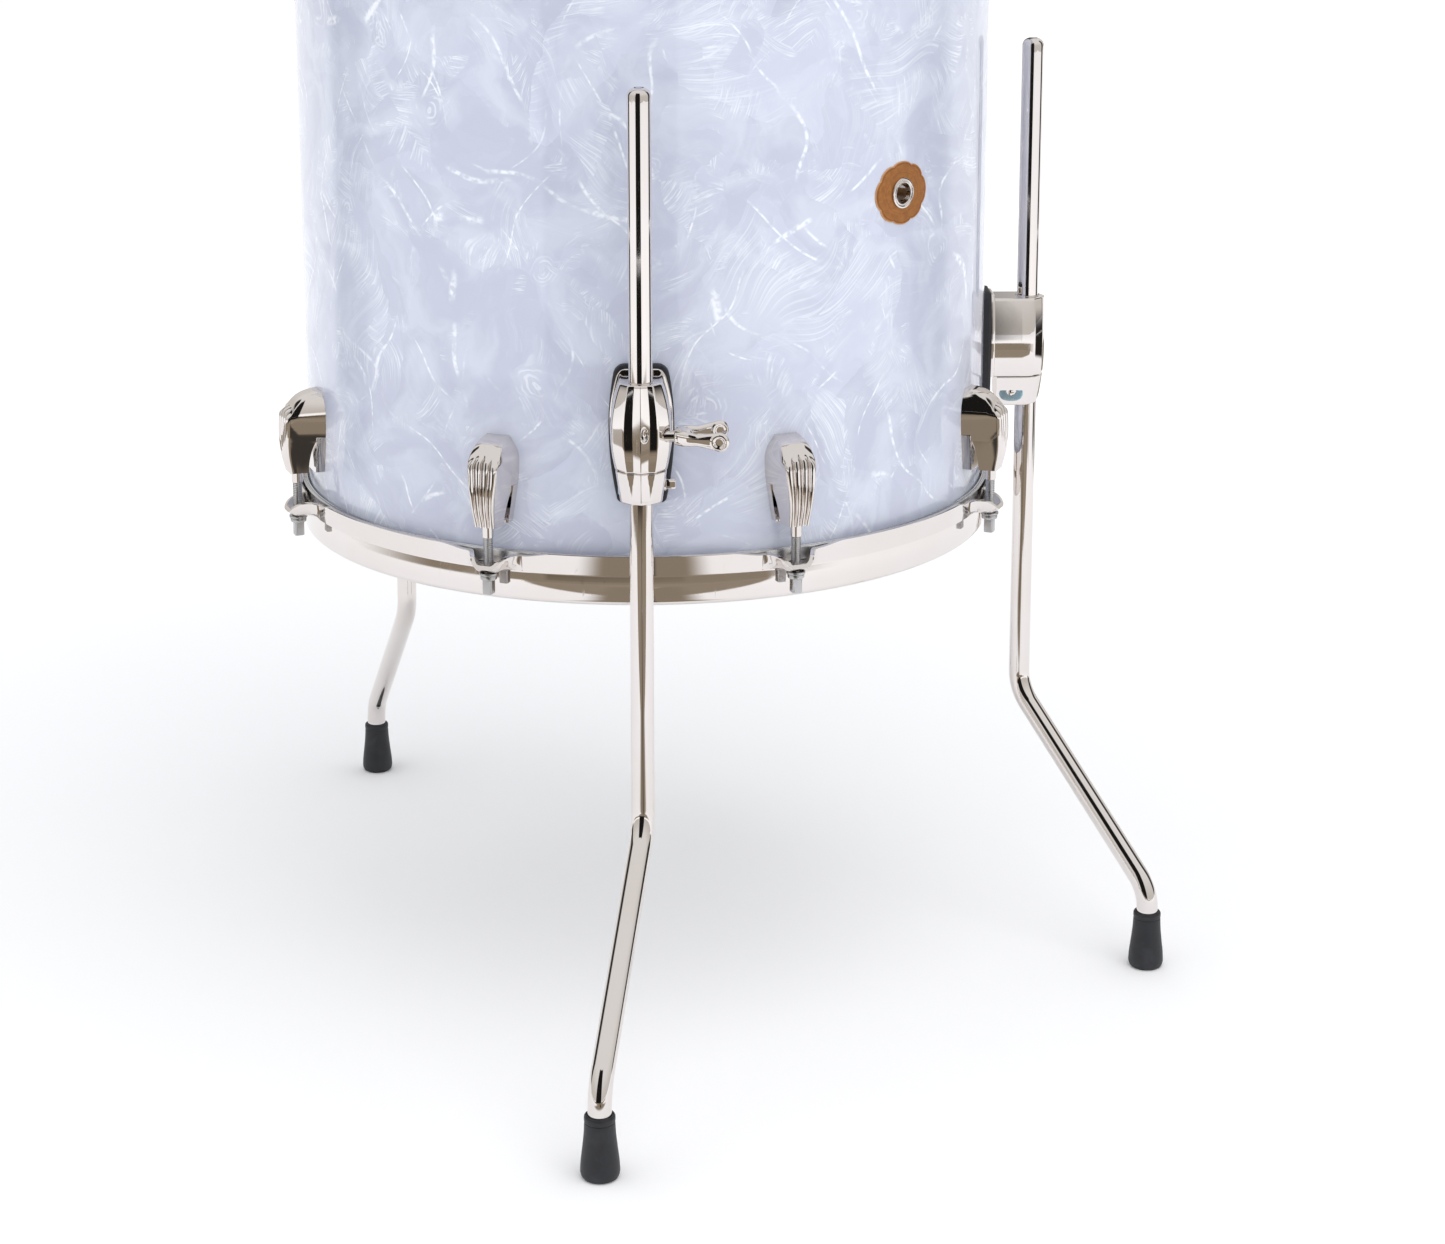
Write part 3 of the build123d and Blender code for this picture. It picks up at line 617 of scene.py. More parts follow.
def pearl_flakes(group: NodeTree) -> None:
    """Marine pearl: drifting pale sheets, each with its own lie of fine bright strokes, swirls and folds.

    Cells of a warped Voronoi pattern are the sheets. In each, coordinates about the cell's own point turn by
    a random angle, and noise stretched along them gives the strokes. Rings round the points of a few wider
    cells are the swirls, and the borders of long slanting cells are the folds.

    Args:
        group: the empty group to build in.
    """
    outputs = {"Sheet": "Float", "Shade": "Float", "Stroke": "Float", "Fold": "Float"}
    given, out, tree = declare(group, {"Vector": "Vector"}, outputs)
    where = given.outputs["Vector"]
    drift = tree.vector("SUBTRACT", tree.hues(where, 13.0, 1.0), (0.5, 0.5, 0.5))
    small_drift = tree.vector("SUBTRACT", tree.hues(where, 70.0, 2.0), (0.5, 0.5, 0.5))
    warped = tree.vector("ADD", where, tree.vector("MULTIPLY", drift, (0.06, 0.06, 0.0)))
    rough = tree.vector("ADD", warped, tree.vector("MULTIPLY", small_drift, (0.010, 0.010, 0.0)))

    strokes, sheet_tones_and_shades = [], []
    # Broad sheets, slips, then chips: cells to a metre, stretch, stroke width and length, curl, share shown
    layers = (
        (20.0, (1.0, 0.6, 1.0), 0.0012, 0.034, 16.0, 0.48),
        (42.0, (1.0, 0.7, 1.0), 0.0009, 0.018, 26.0, 0.47),
        (95.0, (1.0, 0.8, 1.0), 0.0007, 0.008, 10.0, 0.50),
    )
    for layer, (cells, stretch, width, length, curling, share) in enumerate(layers):
        lie = tree.stretched(rough, stretch, 0.75 - 1.3 * layer)
        sheet = tree.add("TexVoronoi", {"Vector": lie, "Scale": cells}, voronoi_dimensions="2D")
        pick = tree.add("SeparateColor", {0: sheet.outputs["Color"]}).outputs
        smooth_lie = tree.stretched(warped, stretch, 0.75 - 1.3 * layer)
        local = tree.vector("SUBTRACT", smooth_lie, sheet.outputs["Position"])
        axes = tree.add("SeparateXYZ", {0: tree.turned(local, tree.times(pick[0], 6.283))}).outputs
        # A bend grows with the square of the distance along the stroke, so each sheet curls its own way
        curl = tree.times(tree.math("SUBTRACT", pick[1], 0.5), curling)
        across = tree.plus(axes[0], tree.times(curl, tree.times(axes[1], axes[1])))
        drawn = tree.add(
            "CombineXYZ",
            {0: tree.math("DIVIDE", across, width), 1: tree.math("DIVIDE", axes[1], length), 2: pick[2]},
        ).outputs[0]
        strands = {"Vector": drawn, "Scale": 1.0, "Detail": 3.0, "Roughness": 0.6}
        fine = tree.add("TexNoise", strands).outputs[0]
        patchy = tree.noise(rough, 17.0 + 15.0 * layer, 3.0)
        shown = tree.times(tree.ramp(patchy, share, share + 0.14), tree.ramp(pick[2], 0.3, 0.75))
        strokes.append(tree.times(tree.ramp(fine, 0.45, 0.72), shown))
        # Painted light and shade: each sheet is painted lighter on one side than the other, like overlapping
        # petals
        slope = tree.times(tree.math("SUBTRACT", pick[1], 0.3), tree.times(axes[0], 0.9 * cells))
        sheet_tones_and_shades.append(tree.times(tree.plus(pick[2], slope), (0.5, 0.32, 0.18)[layer]))

    # Rings round the middle of a few cells, like eyes in the pearl
    eyes = tree.add("TexVoronoi", {"Vector": warped, "Scale": 15.0}, voronoi_dimensions="2D")
    chosen = tree.ramp(tree.add("SeparateColor", {0: eyes.outputs["Color"]}).outputs[1], 0.62, 0.66)
    reach = tree.vector("LENGTH", tree.vector("SUBTRACT", rough, eyes.outputs["Position"]))
    waves = tree.math("SINE", tree.times(reach, 1900.0))
    rings = tree.times(tree.ramp(waves, -0.2, 1.0), tree.ramp(reach, 0.016, 0.004))
    broken = tree.ramp(tree.noise(where, 110.0, 1.0), 0.40, 0.62)
    rings = tree.times(tree.times(rings, chosen), broken)
    all_strokes = tree.math("MAXIMUM", strokes[0], tree.math("MAXIMUM", strokes[1], strokes[2]))
    stroke = tree.math("MAXIMUM", all_strokes, tree.times(rings, 0.7))

    # Folds: the borders of long slanting cells, seen only here and there
    folds = []
    for turn, cells, thin in ((-0.85, 8.0, 0.009), (-0.62, 15.0, 0.012), (0.5, 17.0, 0.013)):
        slant = tree.stretched(warped, (1.0, 0.22, 1.0), turn)
        border = tree.add("TexVoronoi", {"Vector": slant, "Scale": cells}, feature="DISTANCE_TO_EDGE",
                          voronoi_dimensions="2D")
        line = tree.ramp(border.outputs["Distance"], thin, 0.2 * thin)
        here = tree.ramp(tree.noise(where, 14.0 + cells, 2.0), 0.48, 0.60)
        beads = tree.ramp(tree.noise(where, 260.0, 1.0), 0.36, 0.6, 0.2, 1.0)
        folds.append(tree.times(tree.times(line, here), beads))

    cloud = tree.noise(rough, 30.0, 5.0, 0.8)
    sheet_tone_and_painted_shade = tree.plus(sheet_tones_and_shades[0], tree.plus(sheet_tones_and_shades[1], sheet_tones_and_shades[2]))
    fold = tree.math("MAXIMUM", folds[0], tree.math("MAXIMUM", folds[1], folds[2]))
    tree.feed(out, {"Sheet": sheet_tone_and_painted_shade, "Shade": cloud, "Stroke": stroke, "Fold": fold})


# ---- finishes


@dataclass(frozen=True)
class Finish:
    """A finish: the record's slot it belongs to and the colour and gloss it starts from."""

    slot: str
    name: str
    colour: Colour
    roughness: float

    def material(self) -> bpy.types.Material:
        """The material, made on first use.

        Returns:
            The material that every piece in this finish wears.
        """
        made = bpy.data.materials.get(self.name)
        if made is None:
            made = bpy.data.materials.new(self.name)
            made.use_nodes = True
            tree = Tree(made.node_tree)
            shader = tree.add("BsdfPrincipled")
            tree.add("OutputMaterial", {0: shader.outputs[0]})
            tree.feed(shader, {"Base Color": self.colour, "Roughness": self.roughness})
            self.dress(tree, shader)
        return made

    def dress(self, tree: Tree, shader: Node) -> None:
        """Adds the finish's own nodes."""
        raise NotImplementedError

    def bump(self, tree: Tree, shader: Node, height: Any, depth: float) -> None:
        """Feeds a height, times depth in metres, to the shader's normal."""
        node = tree.add("Bump", {"Height": height, "Strength": 1.0, "Distance": depth})
        tree.feed(shader, {"Normal": node.outputs[0]})

    def place(self, tree: Tree) -> Socket:
        """The point's place in the drum's frame, in metres."""
        return tree.add("TexCoord").outputs["Object"]


@dataclass(frozen=True)
class Metal(Finish):
    """Plated or polished metal: tint drifts a little, smudges dull it, scratches catch the light."""

    tint: Colour = (0.6, 0.5, 0.4)
    tint_share: float = 0.12
    smudge: float = 0.05
    scratch: float = 0.12
    grain_depth: float = 0.0

    def dress(self, tree: Tree, shader: Node) -> None:
        """Marks the metal.

        Args:
            tree: the material's tree.
            shader: its Principled shader.
        """
        where = self.place(tree)
        marks = Effect.HANDLING.use(tree, {"Vector": where}).outputs
        drift = tree.times(tree.ramp(tree.noise(where, 22.0, 2.0), 0.35, 0.7), self.tint_share)
        colour = tree.blend(drift, self.colour, self.tint)
        dulled = tree.times(marks["Smudge"], self.smudge)
        scored = tree.times(marks["Scratch"], self.scratch)
        rough = tree.plus(tree.plus(dulled, scored), self.roughness, clamp=True)
        tree.feed(shader, {"Base Color": colour, "Roughness": rough, "Metallic": 1.0})
        if self.grain_depth:
            self.bump(tree, shader, marks["Grain"], self.grain_depth)


@dataclass(frozen=True)
class Pearl(Finish):
    """Marine pearl wrap under a hard clear gloss."""

    # shade: the darker sheets, and the painted-dark side of each sheet
    shade: Colour = (0.52, 0.548, 0.67)
    light: Colour = (0.69, 0.73, 0.83)
    # glint: the strokes and folds, partly the flakes' own pale colour and partly a painted glint
    glint: Colour = (0.92, 0.96, 1.0)

    def dress(self, tree: Tree, shader: Node) -> None:
        """Lays the flakes, from the wrap's own unrolled map, under the gloss.

        Args:
            tree: the material's tree.
            shader: its Principled shader.
        """
        unrolled = tree.add("UVMap", uv_map="Surface").outputs[0]
        flakes = Effect.PEARL.use(tree, {"Vector": unrolled}).outputs
        # Each sheet's random tone and its painted light and shade run from the shade colour to the base
        # colour
        petals = tree.ramp(flakes["Sheet"], 0.12, 0.92)
        petals_with_painted_shade = tree.blend(petals, self.shade, self.colour)
        cloud = tree.ramp(flakes["Shade"], 0.42, 0.66)
        body = tree.blend(tree.times(cloud, 0.55), petals_with_painted_shade, self.light)
        # Strokes and folds go towards the glint colour: partly the flakes' pale colour, partly a painted
        # glint
        lit = tree.blend(tree.times(flakes["Stroke"], 0.64), body, self.glint)
        colour = tree.blend(tree.times(flakes["Fold"], 0.8), lit, self.glint)
        rough = tree.ramp(flakes["Stroke"], 0.0, 1.0, self.roughness, self.roughness - 0.12)
        tree.feed(shader, {"Base Color": colour, "Roughness": rough, "Specular IOR Level": 0.35})
        tree.feed(shader, {"Coat Weight": 1.0, "Coat Roughness": 0.025, "Coat IOR": 1.49})
        self.bump(tree, shader, tree.plus(flakes["Stroke"], flakes["Sheet"]), 0.00003)


@dataclass(frozen=True)
class Etched(Finish):
    """Etched copper plate: fine grain, dark border lines and plain tooled rays, lighter towards the rim."""

    dark: Colour = (0.20, 0.08, 0.03)
    rim_copper: Colour = (0.82, 0.50, 0.28)
    metallic: float = 0.4
    rays: int = 96

    def dress(self, tree: Tree, shader: Node) -> None:
        """Reads the badge's own map: around, from 0 to 1, and outwards, from 0 at the hole to 1 at the rim.

        Args:
            tree: the material's tree.
            shader: its Principled shader.
        """
        surface = tree.add("SeparateXYZ", {0: tree.add("UVMap", uv_map="Surface").outputs[0]}).outputs
        where = self.place(tree)
        marks = Effect.HANDLING.use(tree, {"Vector": where}).outputs
        patina = tree.ramp(tree.noise(where, 320.0, 4.0, 0.6), 0.3, 0.75)
        rays = tree.math("SINE", tree.times(surface[0], 6.2832 * self.rays))
        band = tree.times(tree.ramp(surface[1], 0.52, 0.55), tree.ramp(surface[1], 0.80, 0.77))
        tooling = tree.times(tree.ramp(rays, 0.35, 0.9), band)
        borders = tree.math("MAXIMUM", self.ring(tree, surface[1], 0.88), self.ring(tree, surface[1], 0.44))
        cut = tree.math("MAXIMUM", tree.times(tooling, 0.25), tree.times(borders, 0.6))
        base = tree.blend(tree.times(patina, 0.4), self.colour, self.dark)
        # The outermost share of the plate, its rounded rim, is mixed towards a lighter copper
        edged = tree.blend(tree.ramp(surface[1], 0.93, 1.0, 0.0, 0.6), base, self.rim_copper)
        colour = tree.blend(tree.times(cut, 0.75), edged, self.dark)
        rough = tree.plus(tree.times(patina, 0.2), self.roughness)
        tree.feed(shader, {"Base Color": colour, "Roughness": rough, "Metallic": self.metallic})
        height = tree.math("SUBTRACT", tree.times(marks["Grain"], 0.25), cut)
        self.bump(tree, shader, height, 0.00012)

    def ring(self, tree: Tree, reach: Any, middle: float) -> Socket:
        """A thin line at one share of the way out."""
        away = tree.math("ABSOLUTE", tree.math("SUBTRACT", reach, middle))
        return tree.ramp(away, 0.022, 0.008)


@dataclass(frozen=True)
class Moulded(Finish):
    """Moulded rubber or a sprayed coating: pebbled, with dust in its hollows."""

    dust: Colour = (0.2, 0.2, 0.2)
    dust_share: float = 0.15
    grain_size: float = 0.0006
    grain_depth: float = 0.00004

    def dress(self, tree: Tree, shader: Node) -> None:
        """Pebbles and dusts the surface.

        Args:
            tree: the material's tree.
            shader: its Principled shader.
        """
        grain = Effect.SPECKLE.use(tree, {"Vector": self.place(tree), "Size": self.grain_size}).outputs
        dusty = tree.times(grain["Dust"], self.dust_share)
        colour = tree.blend(dusty, self.colour, self.dust)
        rough = tree.plus(tree.times(grain["Dust"], 0.15), self.roughness, clamp=True)
        tree.feed(shader, {"Base Color": colour, "Roughness": rough})
        self.bump(tree, shader, grain["Height"], self.grain_depth)


@dataclass(frozen=True)
class ClearFilm(Finish):
    """Clear polyester with a faint haze, wiping marks and small scuffs."""

    wiped: Colour = (0.9, 0.9, 0.88)
    thinnest: float = 0.34  # alpha of a clean patch

    def dress(self, tree: Tree, shader: Node) -> None:
        """Hazes the film.

        Args:
            tree: the material's tree.
            shader: its Principled shader.
        """
        where = self.place(tree)
        marks = Effect.HANDLING.use(tree, {"Vector": where}).outputs
        haze = tree.times(marks["Smudge"], 0.12)
        marked = tree.plus(haze, tree.times(marks["Scratch"], 0.3))
        alpha = tree.plus(marked, self.thinnest, clamp=True)
        rough = tree.plus(haze, self.roughness)
        cast = tree.blend(marks["Smudge"], self.colour, self.wiped)
        tree.feed(shader, {"Base Color": cast, "Roughness": rough, "Alpha": alpha})


@dataclass(frozen=True)
class SealedWood(Finish):
    """Sealed maple plies: long figure round the shell, fine pores, ply lines at the edges."""

    dark: Colour = (0.42, 0.24, 0.11)

    def dress(self, tree: Tree, shader: Node) -> None:
        """Grain runs level round the shell, so it is fine up and down and long sideways.

        Args:
            tree: the material's tree.
            shader: its Principled shader.
        """
        where = self.place(tree)
        grain = tree.noise(tree.vector("MULTIPLY", where, (9.0, 9.0, 260.0)), 1.0, 5.0, 0.8)
        pores = tree.noise(tree.vector("MULTIPLY", where, (60.0, 60.0, 2600.0)), 1.0, 2.0)
        plies = tree.add("TexWave", {"Vector": where, "Scale": 110.0, "Distortion": 0.4}, wave_type="RINGS")
        figure = tree.blend(tree.ramp(grain, 0.35, 0.7), self.colour, self.dark)
        pored = tree.blend(tree.ramp(pores, 0.62, 0.8, 0.0, 0.5), figure, self.dark)
        colour = tree.blend(tree.times(plies.outputs[1], 0.12), pored, self.dark)
        rough = tree.ramp(pores, 0.3, 0.8, self.roughness, self.roughness + 0.2)
        tree.feed(shader, {"Base Color": colour, "Roughness": rough})
        self.bump(tree, shader, pores, 0.00005)


NICKEL = Metal("nickel_plate", "Warm nickel", (0.775, 0.735, 0.715), 0.035, tint=(0.64, 0.55, 0.45))
PLAIN_STEEL = Metal(
    "plain_steel", "Zinc-plated steel", (0.52, 0.52, 0.53), 0.27, tint=(0.36, 0.34, 0.31), tint_share=0.35,
    smudge=0.14, scratch=0.2, grain_depth=0.00002,
)
BLUE_ZINC = Metal(
    "blue_zinc", "Blue zinc", (0.36, 0.56, 0.70), 0.24, tint=(0.62, 0.66, 0.62), tint_share=0.5,
    smudge=0.12, scratch=0.2, grain_depth=0.00002,
)
RING_ALUMINIUM = Metal(
    "ring_aluminium", "Rolled aluminium", (0.70, 0.71, 0.72), 0.24, tint=(0.55, 0.55, 0.56), tint_share=0.25,
    smudge=0.1, scratch=0.25, grain_depth=0.00003,
)
WHITE_PEARL = Pearl("white_pearl", "Marine pearl", (0.60, 0.635, 0.76), 0.42)
COPPER = Etched("copper_badge", "Etched copper", (0.40, 0.155, 0.035), 0.40)
GASKET_RUBBER = Moulded("gasket_rubber", "Gasket rubber", (0.016, 0.016, 0.02), 0.55, dust=(0.09, 0.09, 0.1))
FOOT_RUBBER = Moulded(
    "foot_rubber", "Foot rubber", (0.011, 0.012, 0.016), 0.5, dust=(0.10, 0.10, 0.11), dust_share=0.2,
    grain_size=0.0009, grain_depth=0.00006,
)
COATED_FILM = Moulded(
    "coated_film", "Coated film", (0.84, 0.84, 0.82), 0.62, dust=(0.66, 0.65, 0.62), dust_share=0.3,
    grain_size=0.0008, grain_depth=0.00005,
)
CLEAR_FILM = ClearFilm("clear_film", "Clear film", (0.80, 0.83, 0.86), 0.12)
MAPLE = SealedWood("maple_ply", "Sealed maple", (0.66, 0.45, 0.26), 0.35)


# ---- wrap, badge and vent


@dataclass
class ShellDress:
    """The pearl wrap with its vent hole, the scalloped badge and the grommet through both."""

    drum: Drum
    wrap_thickness: float = 0.48
    seam_azimuth: float = 157.0  # behind a lug
    columns: int = 240
    rows: int = 76
    window: int = 6  # grid cells across the patch round the vent
    hole: float = 6.8
    badge_half_width: float = 21.0
    badge_half_height: float = 17.5
    badge_thickness: float = 0.6
    scallop: float = 0.085
    grommet_bore: float = 5.75
    grommet_tube: float = 6.5
    grommet_flange: float = 8.5

    def vent_azimuth(self) -> float:
        """The vent's azimuth, read from the grommet's box.

        Returns:
            The azimuth in degrees.
        """
        low, high = box_of("vent_grommet")
        x, y = ((low + high) / 2)[:2]
        return math.degrees(math.atan2(x - self.drum.x, self.drum.y - y))

    def build(self) -> None:
        """Makes the three pieces."""
        vent = self.vent_azimuth()
        self.build_wrap(vent)
        self.build_badge(vent)
        self.build_grommet(vent)

    def build_wrap(self, vent: float) -> None:
        """The wrap is a grid of azimuth and height, with one window of cells swapped for a patch with a hole.

        Args:
            vent: the vent's azimuth in degrees.
        """
        drum = self.drum
        low, high = (corner[2] for corner in box_of("pearl_wrap"))
        step = 360.0 / self.columns
        # The seam is moved to the grid line nearest its place, so that the vent's window falls on grid lines
        start = vent + step * round((self.seam_azimuth - vent) / step)
        azimuth = start + step * np.arange(self.columns + 1)
        height = np.linspace(low, high, self.rows + 1)
        column = (round((vent - start) / step) % self.columns) - self.window // 2
        row = (self.rows - self.window) // 2
        keep = np.ones((self.rows, self.columns), bool)
        keep[row : row + self.window, column : column + self.window] = False
        half_width = math.radians(step) * drum.radius * self.window / 2
        half_height = (height[1] - height[0]) * self.window / 2
        patch = cell_with_hole(half_width, self.window, self.hole, 4)
        outwards = smoothstep(self.hole, half_width, np.abs(patch).max(-1))
        stretch = 1 + (half_height / half_width - 1) * outwards
        patch = patch * np.stack([np.ones_like(stretch), stretch], -1)

        skin = Skin()
        grid_azimuth, grid_height = np.meshgrid(azimuth, height)
        middle_azimuth = azimuth[column + self.window // 2]
        for inner in (False, True):
            radius = drum.radius - (self.wrap_thickness if inner else 0.0)
            for at, up, faces in (
                (grid_azimuth, grid_height, keep),
                (middle_azimuth + np.degrees(patch[..., 0] / drum.radius), patch[..., 1] + drum.middle, None),
            ):
                skin.add(*self.on_cylinder(at, up, radius, start), faces)
        rims = [(azimuth, np.full_like(azimuth, low)), (azimuth, np.full_like(azimuth, high))]
        rims.append((middle_azimuth + np.degrees(patch[0, :, 0] / drum.radius), patch[0, :, 1] + drum.middle))
        for at, up in rims:
            outer, surface = self.on_cylinder(at, up, drum.radius, start)
            inner_edge, _ = self.on_cylinder(at, up, drum.radius - self.wrap_thickness, start)
            skin.add(np.stack([outer, inner_edge]), np.stack([surface, surface]))
        skin.piece("pearl_wrap_skin", "shell", WHITE_PEARL, ["pearl_wrap"])

    def on_cylinder(self, azimuth: Array, height: Array, radius: float, start: float) -> tuple[Array, Array]:
        """Points at a radius about the drum's axis, with their place on the unrolled wrap.

        Args:
            azimuth: azimuth of each point, in degrees.
            height: height of each point.
            radius: distance from the axis.
            start: azimuth of the wrap's seam.

        Returns:
            World points, and their map (distance from the seam, height), both in metres.
        """
        angle = np.radians(azimuth)
        x = self.drum.x + radius * np.sin(angle)
        y = self.drum.y - radius * np.cos(angle)
        unrolled = np.radians(azimuth - start) * self.drum.radius
        return np.stack([x, y, height], -1) * MM, np.stack([unrolled, height], -1) * MM

    def build_badge(self, vent: float) -> None:
        """The badge's rim: an oval, 1/r^2 = (cos a/w)^2 + (sin a/h)^2, cut in by eight scallops of |cos 4b|.

        Args:
            vent: the vent's azimuth in degrees.
        """
        angle = np.linspace(0, 2 * np.pi, 241)
        oval = 1 / np.hypot(np.cos(angle) / self.badge_half_width, np.sin(angle) / self.badge_half_height)
        lobes = np.abs(np.cos(4 * (angle - 0.05 * np.sin(4 * angle)))) ** 0.45
        rim = oval * (1 - self.scallop * (1 - lobes))
        top = self.badge_thickness
        # Share of the way out, and lift: back, hole edge, face with a pressed line, rounded rim, back
        profile = np.array(
            [(0, 0), (0, top), (0.3, top), (0.8, top), (0.86, top), (0.87, top - 0.15), (0.89, top - 0.15),
             (0.9, top), (0.965, top), (0.99, top - 0.12), (1, top - 0.3), (1, 0), (0.5, 0), (0, 0)]
        )
        out = self.hole + profile[:, :1] * (rim - self.hole)
        lift = profile[:, 1:] + 0.02
        local = self.drum.wrapped(out * np.cos(angle), lift, out * np.sin(angle) + self.drum.middle)
        surface = np.stack(np.broadcast_arrays(angle / (2 * np.pi), profile[:, :1]), -1)
        skin = Skin()
        skin.add(self.drum.place(local, [vent]), surface[None])
        skin.piece("badge_plate", "shell", COPPER, ["badge"], crease=50.0)

    def build_grommet(self, vent: float) -> None:
        """A tube turned about the vent's axis, rolled over in a double ring outside and in one ring inside.

        Args:
            vent: the vent's azimuth in degrees.
        """
        outside = self.drum.radius + self.badge_thickness + 0.04
        low, high = box_of("vent_grommet")
        inside = outside - float(np.linalg.norm((high - low)[:2])) + 2 * self.grommet_flange
        inside = min(inside, self.drum.radius - 7.5)
        bore, tube, flange = self.grommet_bore, self.grommet_tube, self.grommet_flange
        corners = [
            (bore, inside - 1.0, 0.4), (flange, inside - 1.0, 0.5), (flange, inside - 0.1, 0.3),
            (tube, inside - 0.1, 0.1), (tube, outside, 0.1), (flange, outside, 0.3),
            (flange, outside + 0.9, 0.6), (7.4, outside + 1.15, 0.5), (7.0, outside + 0.55, 0.25),
            (6.6, outside + 0.6, 0.2),
            (6.4, outside + 1.0, 0.3), (bore, outside + 0.9, 0.4),
        ]
        profile = rounded(corners, 5)
        turned = revolved(np.concatenate([profile, profile[:1]]), 48)
        local = np.stack([turned[..., 0], turned[..., 2], turned[..., 1] + self.drum.middle], -1)
        grommet = Skin.of(self.drum.place(local, [vent]))
        grommet.piece("vent_grommet_ring", "shell", NICKEL, ["vent_grommet"])


# ---- lugs


@dataclass
class Lugs:
    """Ribbed lugs with an arch behind the barrel, and the swivel nuts in them."""

    drum: Drum
    low: float = 312.0
    high: float = 359.5
    ribs: int = 4
    rib_depth: float = 2.3
    rib_roundness: float = 0.7
    rib_top: float = 351.5
    tallest: float = 226.5
    cap_bevel: float = 2.4
    arch_top: float = 331.0
    arch_radius: float = 24.0
    arch_share: float = 0.43
    flange: float = 5.4
    barrel_back: float = 212.4
    nut_low: float = 305.6
    nut_radius: float = 3.25
    nut_bore: float = 2.85
    rows: int = 84
    columns: int = 64

    def half_width(self, reach: Array, height: Array) -> Array:
        """Half width of the casting: a coffin-shaped outline that narrows evenly from the shell to the face.

        Args:
            reach: distance from the drum's axis.
            height: height of each point.

        Returns:
            Half width at each point.
        """
        low, high = self.low, self.high
        base = rounded([(low, 8.0, 0), (338, 12.2, 9), (351.5, 12.3, 5), (high, 6.6, 0)], 6, closed=False)
        face = rounded([(low, 5.4, 0), (338, 8.3, 10), (349.5, 8.8, 6), (high, 6.4, 0)], 6, closed=False)
        base = np.interp(height, base[:, 0], base[:, 1])
        face = np.interp(height, face[:, 0], face[:, 1])
        t = np.clip((reach - self.drum.radius) / (self.tallest - 0.5 - self.drum.radius), 0, 1)
        return base + (face - base) * t

    def front(self, height: Array) -> Array:
        """The casting's face without its ribs.

        Args:
            height: height of each point.

        Returns:
            How far each point is from the drum's axis.
        """
        side = rounded([(self.low, 221.2, 0), (328, 223.9, 12), (348, 222.9, 5), (357.0, 216.6, 6),
                        (359.3, 207.0, 4), (359.5, 203.4, 0)], 8, closed=False)
        return np.interp(height, side[:, 0], side[:, 1])

    def casting(self) -> list[Array]:
        """The casting is a slab between its ribbed face and its back, which is the shell and then the arch.

        A rib is |sin| to a power under one, so ribs are round and the grooves between them sharp. The arch's
        ceiling drops as a circle does, R - sqrt(R^2 - h^2), by a share of that.

        Returns:
            The slab's patches.
        """
        lower = np.linspace(self.low, self.rib_top - 2, self.rows - 30)
        upper = self.high - (self.high - self.rib_top + 2) * np.linspace(1, 0, 31)[1:] ** 1.5
        height = np.concatenate([lower, upper])[:, None]
        # Columns crowd towards the side edges, which are eased off
        across = crowded(self.columns, 0.5)
        face = self.front(height)
        wave = np.abs(np.sin(np.pi * self.ribs / 2 * across)) ** self.rib_roundness
        tops = self.rib_top + 0.6 - 4.6 * across**2
        ends = 1 - smoothstep(tops - 3.6, tops + 0.6, height)
        fade = 0.6 + 0.4 * smoothstep(self.low, 322, height)
        corner = 0.36 * np.clip((np.abs(across) - 0.93) / 0.07, 0, 1) ** 2
        capped = smoothstep(346.0, 357.0, height)
        corner = corner + self.cap_bevel * capped * np.clip((np.abs(across) - 0.35) / 0.65, 0, 1) ** 2
        reach = face + self.rib_depth * ends * (wave * fade + 0.35 * (1 - fade)) - corner
        front = xyz(across * self.half_width(face, height), np.minimum(reach, self.tallest), height)

        rise = np.minimum(height, self.arch_top) - self.low
        drop = self.arch_radius - np.sqrt(self.arch_radius**2 - rise**2)
        ceiling = self.barrel_back - self.arch_share * drop
        in_arch = height < self.arch_top
        back_u = across * self.half_width(np.where(in_arch, ceiling, self.drum.radius), height)
        on_shell = np.sqrt(self.drum.radius**2 - back_u**2) + SEAT
        back = xyz(back_u, np.where(in_arch, ceiling, on_shell), height)
        return slab(front, back, 4)

    def back_plate(self) -> list[Array]:
        """The flange below the arch, laid on the shell.

        Returns:
            The flange's patches.
        """
        height = np.linspace(self.low, self.arch_top + 2, 16)[:, None]
        across = np.linspace(-1, 1, 17)[None, :]
        u = across * self.half_width(np.full_like(height, self.drum.radius), height)
        on_shell = np.sqrt(self.drum.radius**2 - u**2)
        return slab(xyz(u * 0.985, on_shell + self.flange, height), xyz(u, on_shell + SEAT, height), 2)

    def build(self) -> None:
        """Makes the lower ring of lugs, its mirror image above, and all the nuts."""
        drum = self.drum
        bore, wide, low = self.nut_bore, self.nut_radius, self.nut_low
        nut = rounded([(bore, low, 0.2), (wide, low, 0.5), (wide, 316.0, 0.1), (4.2, 316.0, 0.2),
                       (4.2, 320.0, 0.2), (wide, 320.0, 0.1), (wide, 347.0, 0.4), (bore, 347.0, 0.2)], 3)
        sleeve = revolved(np.concatenate([nut, nut[:1]]), 28) + (0, drum.rod_circle, 0)
        lower = [drum.place(patch, drum.rod_azimuths) for patch in self.casting() + self.back_plate()]
        upper = [drum.mirrored(patch) for patch in lower]
        nuts = drum.place(sleeve, drum.rod_azimuths)
        Skin.of(*lower).piece("lower_lug_castings", "shell", NICKEL, ["lower_lugs"], crease=42.0)
        Skin.of(*upper).piece("upper_lug_castings", "shell", NICKEL, ["upper_lugs"], crease=42.0)
        Skin.of(nuts, drum.mirrored(nuts)).piece("lug_swivel_nuts", "shell", NICKEL, ["lug_nuts"])


# ---- hoops, heads and rods


